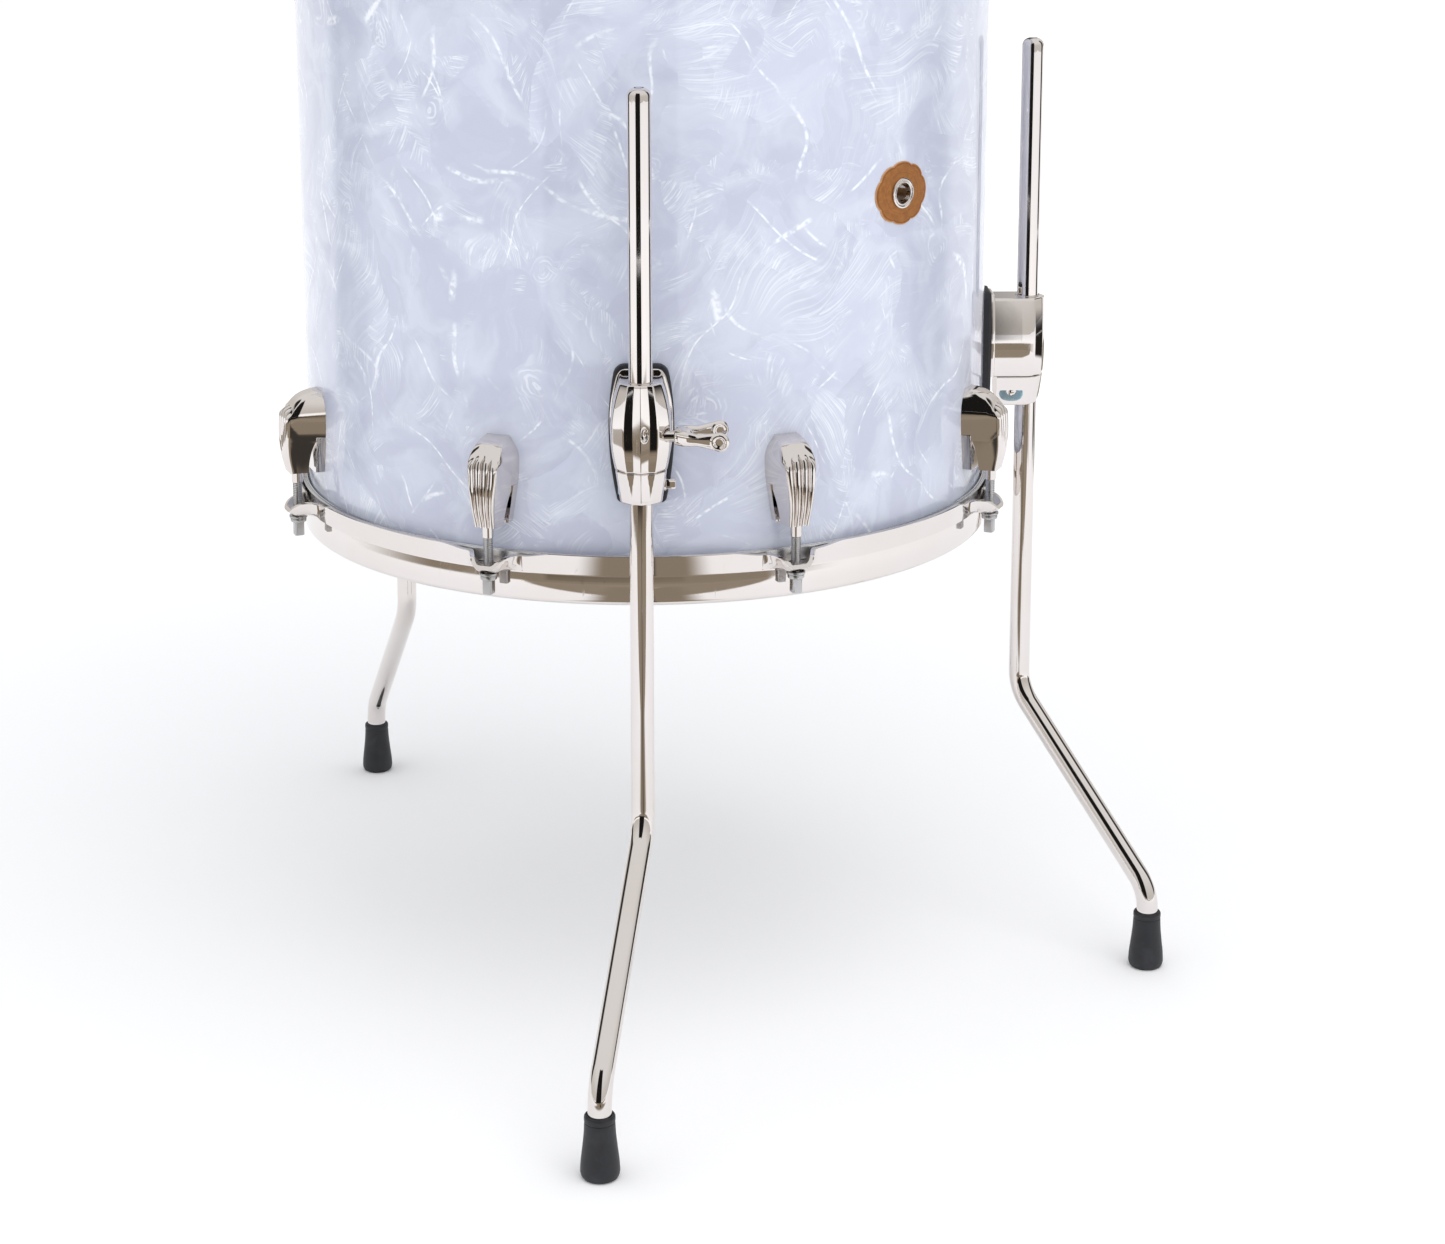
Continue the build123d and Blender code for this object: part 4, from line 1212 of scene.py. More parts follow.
@dataclass
class Hoop:
    """A hoop pressed from one sheet: rim, ledge and band, and the band folded out into an ear at each rod."""

    drum: Drum
    thickness: float = 2.3
    rim_radius: float = 207.1
    rim_edge: float = 268.0
    ledge: float = 286.0
    band_radius: float = 210.0
    band_edge: float = 297.0
    ear_reach: float = 224.4
    ear_flat: float = 3.0  # half width of the flat part
    ear_end: float = 16.2  # where the fold has gone
    band_lean: float = 6.0  # degrees
    hole: float = 3.3
    window: int = 6
    window_half: float = 5.2

    def columns(self) -> Array:
        """Distances from a rod along the band: even in the window, close at the ear, wide between ears.

        Returns:
            The distances, from one side of the rod to the other.
        """
        half, end, span = self.window_half, self.ear_end, np.pi * self.band_radius / 8
        window = np.linspace(-half, half, self.window + 1)
        ear, beside = np.linspace(half, end, 12)[1:], np.linspace(end + 0.6, end + 20, 14)
        side = np.concatenate([ear, [end + 0.05], beside, np.linspace(end + 20, span, 18)[1:]])
        return np.concatenate([-side[::-1], window, side])

    def section(self) -> Array:
        """The section up to the corner of ledge and band: rolled edge, slightly bellied rim, ledge.

        Returns:
            The section's points (radius, height).
        """
        low, top = self.rim_edge, self.ledge
        corners = [(self.rim_radius - 2.2, low, 0), (self.rim_radius - 0.5, low + 1.3, 1.6),
                   (self.rim_radius, low + 9.0, 8.0), (self.rim_radius - 0.25, top, 1.1),
                   (self.band_radius, top, 0)]
        return rounded(corners, 7, closed=False)

    def rows(self) -> Array:
        """Lengths up the section, with the rows of the rod hole's window evenly spaced.

        Returns:
            The lengths, from the rim's edge to the band's.
        """
        base = self.section_length()
        centre, half = self.window_centre(), self.window_half * self.strip_scale()
        window = np.linspace(centre - half, centre + half, self.window + 1)
        start = np.linspace(base, window[0], 4)[1:-1]
        end = np.linspace(window[-1], base + self.band_edge - self.ledge, 4)[1:]
        return np.concatenate([np.linspace(0, base, 34), start, window, end])

    def section_length(self) -> float:
        """Length of the section from the rim's edge to the corner of ledge and band."""
        return float(np.linalg.norm(np.diff(self.section(), axis=0), axis=1).sum())

    def strip_scale(self) -> float:
        """Length of the strip beside the ears for each unit of its length at an ear."""
        return (self.band_edge - self.ledge) / (self.ear_reach - self.band_radius)

    def window_centre(self) -> float:
        """Length up the section of the rod hole's middle."""
        return self.section_length() + (self.drum.rod_circle - self.band_radius) * self.strip_scale()

    def sheet(self, along: Array, arc: Array) -> Array:
        """The sheet's outer face from its distance along the band and its length up the section.

        Up to the ledge the section is the same all round. Beyond the ledge's corner it is a straight strip
        that leans outwards by the fold angle: a few degrees beside the lugs and a right angle at the ears,
        eased between them. The strip is longer at the ears, whose lip curls up, and stands a little proud
        where one starts.

        Args:
            along: distance from the rod along the band.
            arc: length up the section.

        Returns:
            Template points of the same shape.
        """
        section = self.section()
        lengths = np.concatenate([[0], np.cumsum(np.linalg.norm(np.diff(section, axis=0), axis=1))])
        away = np.abs(along)
        lean = math.radians(self.band_lean)
        fold = lean + (0.5 * np.pi - lean) * (1 - smoothstep(self.ear_flat, self.ear_end, away) ** 1.3)
        strip = self.band_edge - self.ledge - 2.3 * (1 - smoothstep(self.ear_end, 34.0, away))
        longer = self.ear_reach - self.band_radius - strip
        strip = strip + longer * (1 - smoothstep(4.0, self.ear_end, away))
        beyond = np.clip(arc - lengths[-1], 0, None) * strip / (self.band_edge - self.ledge)
        proud = 0.55 * (away < self.ear_end + 0.02) * np.clip(beyond / 4.0, 0, 1)
        r = np.interp(arc, lengths, section[:, 0]) + beyond * np.sin(fold) + proud * np.cos(fold)
        curl = 3.0 * np.clip((beyond - 9.0) / 5.4, 0, 1) ** 1.5 * np.sin(fold)
        z = np.interp(arc, lengths, section[:, 1]) + beyond * np.cos(fold) + curl
        # Where the strip lies flat it is straight across, not bent round the drum
        flatness = np.clip(beyond / (self.ear_reach - self.band_radius), 0, 1) * np.sin(fold - lean)
        angle = along / self.band_radius
        reach = r / np.cos(angle * flatness)
        return np.stack([np.sin(angle * (1 - 0.05 * flatness)) * reach, np.cos(angle) * reach, z], -1)

    def build(self, side: str) -> None:
        """Makes one hoop: the sheet on a grid, a holed patch at each rod, and a softened edge.

        Args:
            side: batter or resonant.
        """
        along, arc, half = self.columns(), self.rows(), self.window_half
        centre, scale = self.window_centre(), self.strip_scale()
        column = int(np.argmin(np.abs(along + half)))
        row = int(np.argmin(np.abs(arc - (centre - half * scale))))
        keep = np.ones((len(arc) - 1, len(along) - 1), bool)
        keep[row : row + self.window, column : column + self.window] = False
        patch = cell_with_hole(half, self.window, self.hole, 4)
        skin = Skin()
        for piece, faces in (
            (self.sheet(*np.meshgrid(along, arc)), keep),
            (self.sheet(patch[..., 0], centre + patch[..., 1] * scale), None),
        ):
            skin.add(self.drum.on_side(self.drum.place(piece, self.drum.rod_azimuths), side), None, faces)
        body = f"{side}_hoop"
        hoop = skin.piece(f"{body}_pressing", body, NICKEL, [body], crease=50.0, closed=False)
        self.thicken(hoop, side)

    def thicken(self, hoop: bpy.types.Object, side: str) -> None:
        """Gives the sheet its thickness, inwards, and rounds the edges of rim, band and holes.

        Args:
            hoop: the hoop's object.
            side: batter or resonant.
        """
        work = bmesh.new()
        work.from_mesh(hoop.data)
        # One way round for the whole sheet, outwards at the rim
        bmesh.ops.recalc_face_normals(work, faces=work.faces)
        rim = min(work.faces, key=lambda face: abs(face.calc_center_median().z - self.mid_rim(side)))
        centre = rim.calc_center_median()
        outwards = rim.normal.x * (centre.x - self.drum.x * MM) + rim.normal.y * (centre.y - self.drum.y * MM)
        if outwards < 0:
            bmesh.ops.reverse_faces(work, faces=work.faces)
        work.to_mesh(hoop.data)
        work.free()
        solid = hoop.modifiers.new("thickness", "SOLIDIFY")
        solid.thickness = self.thickness * MM
        solid.offset = -1.0
        solid.use_even_offset = True
        edge = hoop.modifiers.new("edge", "BEVEL")
        edge.width = 0.45 * MM
        edge.segments = 2
        edge.limit_method = "ANGLE"
        edge.angle_limit = math.radians(55)

    def mid_rim(self, side: str) -> float:
        """Height of the middle of the rim's wall, in metres."""
        height = (self.rim_edge + self.ledge) / 2
        return (2 * self.drum.middle - height if side == "batter" else height) * MM


@dataclass
class Head:
    """A drumhead: film drawn over the bearing edge and up into an aluminium ring."""

    drum: Drum
    film: float = 0.3
    gap: float = 0.3
    collar: float = 203.6
    bend: float = 3.0
    ring_low: float = 288.32
    ring_high: float = 295.92
    ring_outer: float = 207.2
    ring_inner: float = 204.0

    def build(self, side: str, finish: Finish) -> None:
        """Makes film and ring, both turned about the drum's axis.

        Args:
            side: batter or resonant.
            finish: what the film wears.
        """
        inside = self.drum.low - self.gap
        outer = self.collar + self.film
        top = self.ring_low + 4
        under = inside - self.film
        film = rounded([(0, inside, 0), (60, inside, 0), (185, inside, 0), (self.collar, inside, self.bend),
                        (self.collar, top, 0), (outer, top, 0), (outer, under, self.bend + self.film),
                        (185, under, 0), (60, under, 0), (0, under, 0)], 6, closed=False)
        bore, wide, low, high = self.ring_inner, self.ring_outer, self.ring_low, self.ring_high
        ring = rounded([(bore, low, 0.3), (wide, low, 0.8), (wide, high, 0.8), (wide - 1.0, high, 0.3),
                        (wide - 1.2, high - 1.0, 0.3), (bore + 1.0, high - 1.0, 0.3),
                        (bore + 0.8, high, 0.3), (bore, high, 0.3)], 4)
        for name, node, profile, wears in (
            ("head_film_sheet", "head_film", film, finish),
            ("head_flesh_ring", "head_ring", np.concatenate([ring, ring[:1]]), RING_ALUMINIUM),
        ):
            placed = (revolved(profile, 192) + (self.drum.x, self.drum.y, 0)) * MM
            skin = Skin.of(self.drum.on_side(placed, side))
            skin.piece(f"{side}_{name}", f"{side}_hoop", wears, [f"{side}_{node}"])


@dataclass
class TensionRods:
    """Tension rods: a rolled thread, a round flange under the hoop's ear and a square key head."""

    drum: Drum
    radius: float = 2.75
    pitch: float = 1.06
    thread_depth: float = 0.32
    tip: float = 340.0
    thread_low: float = 292.0
    flange_radius: float = 4.6
    flange_high: float = 284.5
    flange_low: float = 281.7
    head_end: float = 273.8
    head_half: float = 2.75
    washer_bore: float = 3.1
    washer_radius: float = 5.2
    washer_high: float = 285.96
    washer_low: float = 284.58

    def shank(self) -> Array:
        """The rod down to its flange.

        The thread is a wave of depth |2 frac(z / pitch - a / 2 pi) - 1|, which winds once round in a pitch.

        Returns:
            The shank's grid about its own axis.
        """
        thread = np.arange(self.tip, self.thread_low, -self.pitch / 6)
        neck = [self.thread_low, 288.0, self.flange_high]
        height = np.concatenate([[self.tip + 0.01, self.tip], thread[1:], neck])
        envelope = np.full(len(height), self.radius)
        envelope[0], envelope[1:6] = 0.0, np.linspace(self.radius - 0.7, self.radius, 5)
        angle = np.linspace(0, 2 * np.pi, 19)
        phase = height[:, None] / self.pitch - angle[None, :] / (2 * np.pi)
        depth = self.thread_depth * np.abs(2 * np.mod(phase, 1.0) - 1)
        threaded = smoothstep(self.thread_low - 0.5, self.thread_low + 1.5, height)[:, None]
        r = np.where(envelope[:, None] > 0, envelope[:, None] - depth * threaded, 0.0)
        return xyz(r * np.cos(angle), r * np.sin(angle), height[:, None])

    def head(self) -> Array:
        """Flange and key head: round sections that turn into a rounded square, 1 / (|cos|^8 + |sin|^8)^(1/8).

        Returns:
            The head's grid about its own axis.
        """
        angle = np.linspace(0, 2 * np.pi, 49)
        square = self.head_half / (np.abs(np.cos(angle)) ** 8 + np.abs(np.sin(angle)) ** 8) ** 0.125
        circle = np.ones_like(angle)
        low, end = self.flange_low, self.head_end
        top, wide = self.flange_high, self.flange_radius
        rows = [(0.0, top, 0), (wide - 0.4, top, 0), (wide - 0.1, top - 0.1, 0), (wide, top - 0.4, 0),
                (wide, low + 0.9, 0), (wide - 0.2, low + 0.5, 0), (wide - 1.0, low, 0),
                (1.0, low - 0.1, 1), (1.0, end + 0.7, 1), (0.95, end + 0.2, 1), (0.8, end, 1), (0.0, end, 1)]
        r = np.stack([scale * (square if kind else circle) for scale, _, kind in rows])
        z = np.array([height for _, height, _ in rows])[:, None]
        return xyz(r * np.cos(angle), r * np.sin(angle), z)

    def build(self, side: str) -> None:
        """Makes eight rods, each on its own body, and the washers, which stay with the hoop.

        Args:
            side: batter or resonant.
        """
        drum = self.drum
        at = np.array([0, drum.rod_circle, 0])
        for number, azimuth in enumerate(drum.rod_azimuths, start=1):
            parts = (self.shank(), self.head())
            skin = Skin.of(*(drum.on_side(drum.place(part + at, [azimuth]), side) for part in parts))
            name = f"{side}_rod_{number}"
            skin.piece(f"{name}_threaded", name, PLAIN_STEEL, [name], crease=55.0)
        bore, wide, low, high = self.washer_bore, self.washer_radius, self.washer_low, self.washer_high
        ring = rounded([(bore, low, 0.2), (wide, low, 0.3), (wide, high, 0.3), (bore, high, 0.2)], 3)
        washer = revolved(np.concatenate([ring, ring[:1]]), 36) + at
        skin = Skin.of(drum.on_side(drum.place(washer, drum.rod_azimuths), side))
        skin.piece(f"{side}_washers", f"{side}_hoop", PLAIN_STEEL, [f"{side}_rod_washers"])


# ---- legs and their brackets


@dataclass
class Bracket:
    """A leg bracket on its gasket: faceted housing, memory lock, lock nut and key screw, and wing bolt."""

    drum: Drum
    station: LegStation
    gasket_face: float = 207.5
    flange_face: float = 209.7
    front: float = 241.2
    housing_low: float = 350.5
    housing_high: float = 398.0
    widest: float = 371.0
    flange_top: float = 400.2
    lock_low: float = 332.0
    lock_high: float = 350.2
    leg_radius: float = 6.35

    def build(self, wing_turn: float) -> None:
        """Makes the bracket's pieces, each on its own body.

        Args:
            wing_turn: how the wing bolt happens to stand, in degrees about its own axis.
        """
        side = self.station.side
        housing = self.placed(self.housing() + self.flange() + self.collar())
        housing.piece(f"{side}_bracket_housing", "shell", NICKEL, [f"{side}_bracket"], crease=55.0)
        lock = self.placed(self.lock())
        lock.piece(f"{side}_lock_collar", f"{side}_lock", NICKEL, [f"{side}_memory_lock"], crease=55.0)
        self.build_lock_nut()
        self.build_lock_screw()
        self.build_wing_bolt(wing_turn)

    def placed(self, patches: Sequence[Array]) -> Skin:
        """The skin of some patches, stood at the station."""
        return Skin.of(*(self.drum.place(patch, [self.station.azimuth]) for patch in patches))

    def barrel(self, height: Array, low: float, wide: float, high: float) -> Array:
        """Half width of a barrel outline: one parabola below its widest height and another above.

        Args:
            height: height of each point.
            low: half width at the housing's foot.
            wide: half width at the widest.
            high: half width at the housing's top.

        Returns:
            Half width at each point.
        """
        below = (self.widest - height) / (self.widest - self.housing_low)
        above = (height - self.widest) / (self.housing_high - self.widest)
        return np.where(height < self.widest, wide - (wide - low) * below**2, wide - (wide - high) * above**2)

    def facets(self, across: Array, band: Array, spread: Array) -> Array:
        """How far the front stands back, against the share of the half width from the middle.

        A ridge of two facets is at the middle, a level band beside each, then a facet that falls to the side.

        Args:
            across: share of the half width, from -1 to 1.
            band: share at which the level band starts.
            spread: share at which it ends.

        Returns:
            Distance behind the ridge.
        """
        s = np.abs(across)
        ridge = 1.65 * np.clip(s / band, 0, 1)
        level = 0.25 * np.clip((s - band) / np.maximum(spread - band, 1e-3), 0, 1)
        fall = 5.6 * np.clip((s - spread) / np.maximum(0.93 - spread, 1e-3), 0, 1)
        corner = 3.2 * np.clip((s - 0.93) / 0.07, 0, 1) ** 1.3
        return ridge + level + fall + corner

    def columns(self) -> Array:
        """Shares of the half width, with a column on each facet's edge.

        Returns:
            The shares, from -1 to 1.
        """
        half = np.concatenate([np.linspace(0, 0.28, 15), np.linspace(0.28, 0.56, 9)[1:],
                               np.linspace(0.56, 0.93, 9)[1:], np.linspace(0.93, 1, 6)[1:]])
        return np.concatenate([-half[:0:-1], half])

    def housing(self) -> list[Array]:
        """The housing's body, dished round a small sight hole in its front.

        Returns:
            The body's patches.
        """
        low, high = self.housing_low, self.housing_high
        ends = [low, low + 0.4], [high - 0.5, high - 0.1, high]
        height = np.concatenate([ends[0], np.linspace(352, 396.8, 76), ends[1]])[:, None]
        across = self.columns()[None, :]
        half = self.barrel(height, 13.7, 16.2, 11.4)
        ease = np.interp(height, [350.5, 350.9, 397.2, 397.7, 398.0], [0.35, 0.0, 0.0, 0.25, 0.8])
        above, below = (height - 366.0) / 32.0, (366.0 - height) / 15.5
        bulge = np.where(height > 366.0, 0.5 * above**2, 0.8 * below**2)
        reach = self.front - self.facets(across, np.array(0.28), np.array(0.56)) - ease - bulge
        u = across * (half - ease)
        sight = np.hypot((u - 2.0) / 1.9, (height - 371.8) / 3.9)
        reach = reach - 1.7 * (1 - smoothstep(0.45, 1.1, sight))
        return slab(xyz(u, reach, height), xyz(u, self.gasket_face + 0.05, height), 5)

    def flange(self) -> list[Array]:
        """The thin plate behind the body, with rounded shoulders.

        Returns:
            The plate's patches.
        """
        top = self.flange_top
        shoulders = top - 6.2 * np.linspace(1, 0, 14)[1:] ** 2
        height = np.concatenate([np.linspace(self.housing_low, 394, 30), shoulders])[:, None]
        half = self.barrel(np.minimum(height, 398.0), 14.6, 17.0, 12.6)
        shoulder = 4.0 - np.sqrt(np.clip(16.0 - np.clip(height - top + 4.0, 0, 4) ** 2, 0, None))
        across = np.concatenate([[-1, -0.985], np.linspace(-0.95, 0.95, 19), [0.985, 1]])[None, :]
        u = across * (half - shoulder)
        rounding = 0.5 * np.clip((np.abs(across) - 0.95) / 0.05, 0, 1) ** 2
        rounding = rounding + 0.5 * np.clip((height - top + 0.6) / 0.6, 0, 1)
        front = xyz(u, self.flange_face - rounding, height)
        return slab(front, xyz(u, self.gasket_face + 0.05, height), 2)

    def collar(self) -> list[Array]:
        """A low ring on top of the housing where the leg goes in.

        Returns:
            The ring's patches.
        """
        low, high = self.housing_high - 0.3, self.housing_high + 0.35
        inner, outer = self.leg_radius + 0.12, self.leg_radius + 0.95
        ring = rounded([(inner, low, 0.1), (outer, low, 0.1), (outer, high, 0.3), (inner, high, 0.3)], 3)
        reach = self.station.reach(self.station.leg, self.drum)
        return [revolved(np.concatenate([ring, ring[:1]]), 48) + (0, reach, 0)]

    def lock(self) -> list[Array]:
        """The memory lock under the housing: the same facets, whose level bands close to points lower down.

        Returns:
            The lock's patches.
        """
        low, high = self.lock_low, self.lock_high
        ends = [low, low + 0.3, low + 0.9], [high - 0.3, high]
        height = np.concatenate([ends[0], np.linspace(333.6, 349.6, 24), ends[1]])[:, None]
        t = (height - low) / (high - low)
        half = 11.0 + 2.6 * t
        ease = np.interp(height, [332.0, 332.3, 332.9, 349.9, 350.2], [1.1, 0.4, 0.0, 0.0, 0.35])
        band, spread = 0.42 - 0.14 * t, np.maximum(0.44, 0.44 + 0.14 * (t - 0.15) / 0.85)
        behind = 0.86 * self.facets(self.columns()[None, :], band, spread)
        reach = 236.4 + 3.9 * np.sqrt(np.clip(t, 0, 1)) - behind - ease
        u = self.columns()[None, :] * (half - ease)
        back = xyz(u, 211.5 + 3.0 * np.clip(1 - 4 * t, 0, 1), height)
        return slab(xyz(u, reach, height), back, 5)

    def build_lock_nut(self) -> None:
        """The zinc nut let into the lock's left side: an oval face with an eased rim, open at its middle.

        Its outline is the oval |x / a|^2.6 + |y / b|^2.6 = 1.
        """
        side, screw = self.station.side, self.station.lock_screw
        reach, height = self.station.reach(screw, self.drum), screw[2]
        angle = np.linspace(0, 2 * np.pi, 65)
        oval = 1 / ((np.abs(np.cos(angle)) / 7.2) ** 2.6 + (np.abs(np.sin(angle)) / 5.4) ** 2.6) ** (1 / 2.6)
        rows = np.array([(0.34, -7.6), (1.0, -7.6), (1.0, -12.15), (0.97, -12.35), (0.9, -12.4),
                         (0.42, -12.4), (0.40, -12.2), (0.34, -12.2), (0.34, -7.6)])
        out = rows[:, :1] * oval
        nut = self.placed([xyz(rows[:, 1:], reach + out * np.cos(angle), height + out * np.sin(angle))])
        nut.piece(f"{side}_lock_nut_plate", f"{side}_lock", BLUE_ZINC, [f"{side}_lock_nut"])

    def build_lock_screw(self) -> None:
        """The key screw across the lock: shank, flange, square head, and the pin end seen in the nut."""
        side, screw = self.station.side, self.station.lock_screw
        reach, height = self.station.reach(screw, self.drum), screw[2]
        angle = np.linspace(0, 2 * np.pi, 41)
        square = 1 / (np.abs(np.cos(angle)) ** 8 + np.abs(np.sin(angle)) ** 8) ** 0.125
        rows = [(0.0, -12.55, 0), (0.9, -12.55, 0), (1.8, -12.35, 0), (2.0, -12.0, 0), (2.0, 11.9, 0),
                (3.7, 11.9, 0), (4.0, 12.15, 0), (4.0, 12.9, 0), (3.6, 13.2, 0), (2.75, 13.25, 1),
                (2.75, 17.7, 1), (2.5, 18.1, 1), (0.0, 18.1, 1)]
        r = np.stack([size * (square if kind else np.ones_like(angle)) for size, _, kind in rows])
        u = np.array([place for _, place, _ in rows])[:, None]
        key = self.placed([xyz(u, reach + r * np.cos(angle), height + r * np.sin(angle))])
        key.piece(f"{side}_key_screw", f"{side}_lock_screw", NICKEL, [f"{side}_lock_screw"], crease=45.0)

    def build_wing_bolt(self, turn: float) -> None:
        """The wing bolt: a turned hub and two swept wings, each ending in a round tab with a dished ring.

        Args:
            turn: how the bolt happens to stand, in degrees about its own axis.
        """
        side, wing = self.station.side, self.station.wing
        reach, height = self.station.reach(wing, self.drum), wing[2]
        hub = rounded([(0, 9.7, 0), (3.0, 9.7, 0.4), (3.0, 17.6, 0.2), (4.2, 17.6, 0.5), (4.8, 19.2, 0.8),
                       (4.8, 23.5, 1.2), (3.9, 26.6, 1.5), (1.8, 27.6, 1.0), (0, 27.6, 0)], 4, closed=False)
        turned = revolved(hub, 40)
        parts = [np.stack([turned[..., 2], turned[..., 0], turned[..., 1]], -1)]
        for way in (1, -1):
            parts += [patch * (1, way, 1) for patch in self.wing()]
        cos, sin = math.cos(math.radians(turn)), math.sin(math.radians(turn))
        turns = np.array([[1, 0, 0], [0, cos, -sin], [0, sin, cos]])
        bolt = self.placed([part @ turns + (0, reach, height) for part in parts])
        bolt.piece(f"{side}_wing_screw", f"{side}_wing_bolt", NICKEL, [f"{side}_wing_bolt"], crease=65.0)

    def wing(self) -> list[Array]:
        """One wing along a bent middle line, as thick as a lens, narrow at its neck and round at its tab.

        Returns:
            The wing's patches.
        """
        line = rounded([(19.5, 1.5, 0), (23.5, 5.4, 3), (33.0, 8.6, 4), (46.4, 12.0, 0)], 14, closed=False)
        lengths = np.concatenate([[0], np.cumsum(np.linalg.norm(np.diff(line, axis=0), axis=1))])
        total, tab = lengths[-1], 5.2
        arm, inner = np.linspace(0, total - 2 * tab, 20), np.linspace(total - 2 * tab, total - tab, 16)[1:]
        along = np.concatenate([arm, inner, total - tab * np.linspace(1, 0, 36)[1:] ** 1.7])
        middle = np.stack([np.interp(along, lengths, line[:, axis]) for axis in (0, 1)], -1)
        slope = np.gradient(middle, along, axis=0)
        normal = np.stack([-slope[:, 1], slope[:, 0]], -1) / np.linalg.norm(slope, axis=1)[:, None]
        end = np.sqrt(np.clip(tab**2 - np.clip(along - (total - tab), 0, tab) ** 2, 0.0016, None))
        neck = np.interp(along, [0, 5, 12, total - 2 * tab, total - tab], [4.4, 4.2, 3.2, 4.2, tab])
        breadth = np.where(along > total - tab, end, neck)[:, None]
        across = crowded(48, 0.4)
        z = across * breadth
        away = np.hypot(along[:, None] - (total - tab), z)
        ring = 0.3 * smoothstep(2.9, 3.8, away) * (1 - smoothstep(4.0, 5.0, away))
        dish = 0.8 * (1 - smoothstep(1.9, 3.3, away)) - ring
        root = np.interp(along, [0, 8, total], [2.6, 1.9, 1.5])[:, None]
        half = np.maximum(root * (1 - 0.72 * across**4) - dish, 0.25)
        half = half * np.sqrt(np.clip((total - along[:, None]) / 1.2, 0.04, 1))
        sheets = []
        for way in (1, -1):
            xy = middle[:, None, :] + way * half[..., None] * normal[:, None, :]
            sheets.append(np.concatenate([xy, z[..., None]], -1))
        return slab(sheets[0], sheets[1], 2)


@dataclass
class Gaskets:
    """The black rubber gaskets under the three brackets."""

    drum: Drum
    face: float = 207.45
    low: float = 326.0
    wide_at: float = 368.0
    high: float = 402.0

    def build(self, stations: Sequence[LegStation]) -> None:
        """A slab from the curved shell to a flat face, its outline a barrel with rounded corners.

        Args:
            stations: the legs whose brackets the gaskets go under.
        """
        bottom = self.low + 8 * np.linspace(0, 1, 12) ** 2
        top = self.high - 8 * np.linspace(1, 0, 14) ** 2
        height = np.concatenate([bottom, np.linspace(self.low + 8, self.high - 8, 30)[1:-1], top])[:, None]
        below = (self.wide_at - height) / (self.wide_at - self.low)
        above = (height - self.wide_at) / (self.high - self.wide_at)
        half = np.where(height < self.wide_at, 17.6 - 4.8 * below**2, 17.6 - 3.8 * above**2)
        for edge, radius in ((self.low, 2.5), (self.high, 5.0)):
            inside = np.clip(radius - np.abs(height - edge), 0, radius)
            half = half - (radius - np.sqrt(radius**2 - inside**2))
        edge = np.array([0.97, 0.992, 1])
        across = np.concatenate([-edge[::-1], np.linspace(-0.93, 0.93, 21), edge])[None, :]
        u = across * half
        rounding = 1.1 * np.clip((np.abs(across) - 0.93) / 0.07, 0, 1) ** 2.2
        from_end = np.minimum(height - self.low, self.high - height)
        rounding = rounding + 1.1 * np.clip((1.2 - from_end) / 1.2, 0, 1) ** 2.2
        front = xyz(u, self.face - rounding, height)
        back = xyz(u, np.sqrt(self.drum.radius**2 - u**2) + SEAT, height)
        azimuths = [station.azimuth for station in stations]
        pads = Skin.of(*(self.drum.place(patch, azimuths) for patch in slab(front, back, 4)))
        pads.piece("bracket_gasket_pads", "shell", GASKET_RUBBER, ["bracket_gaskets"])


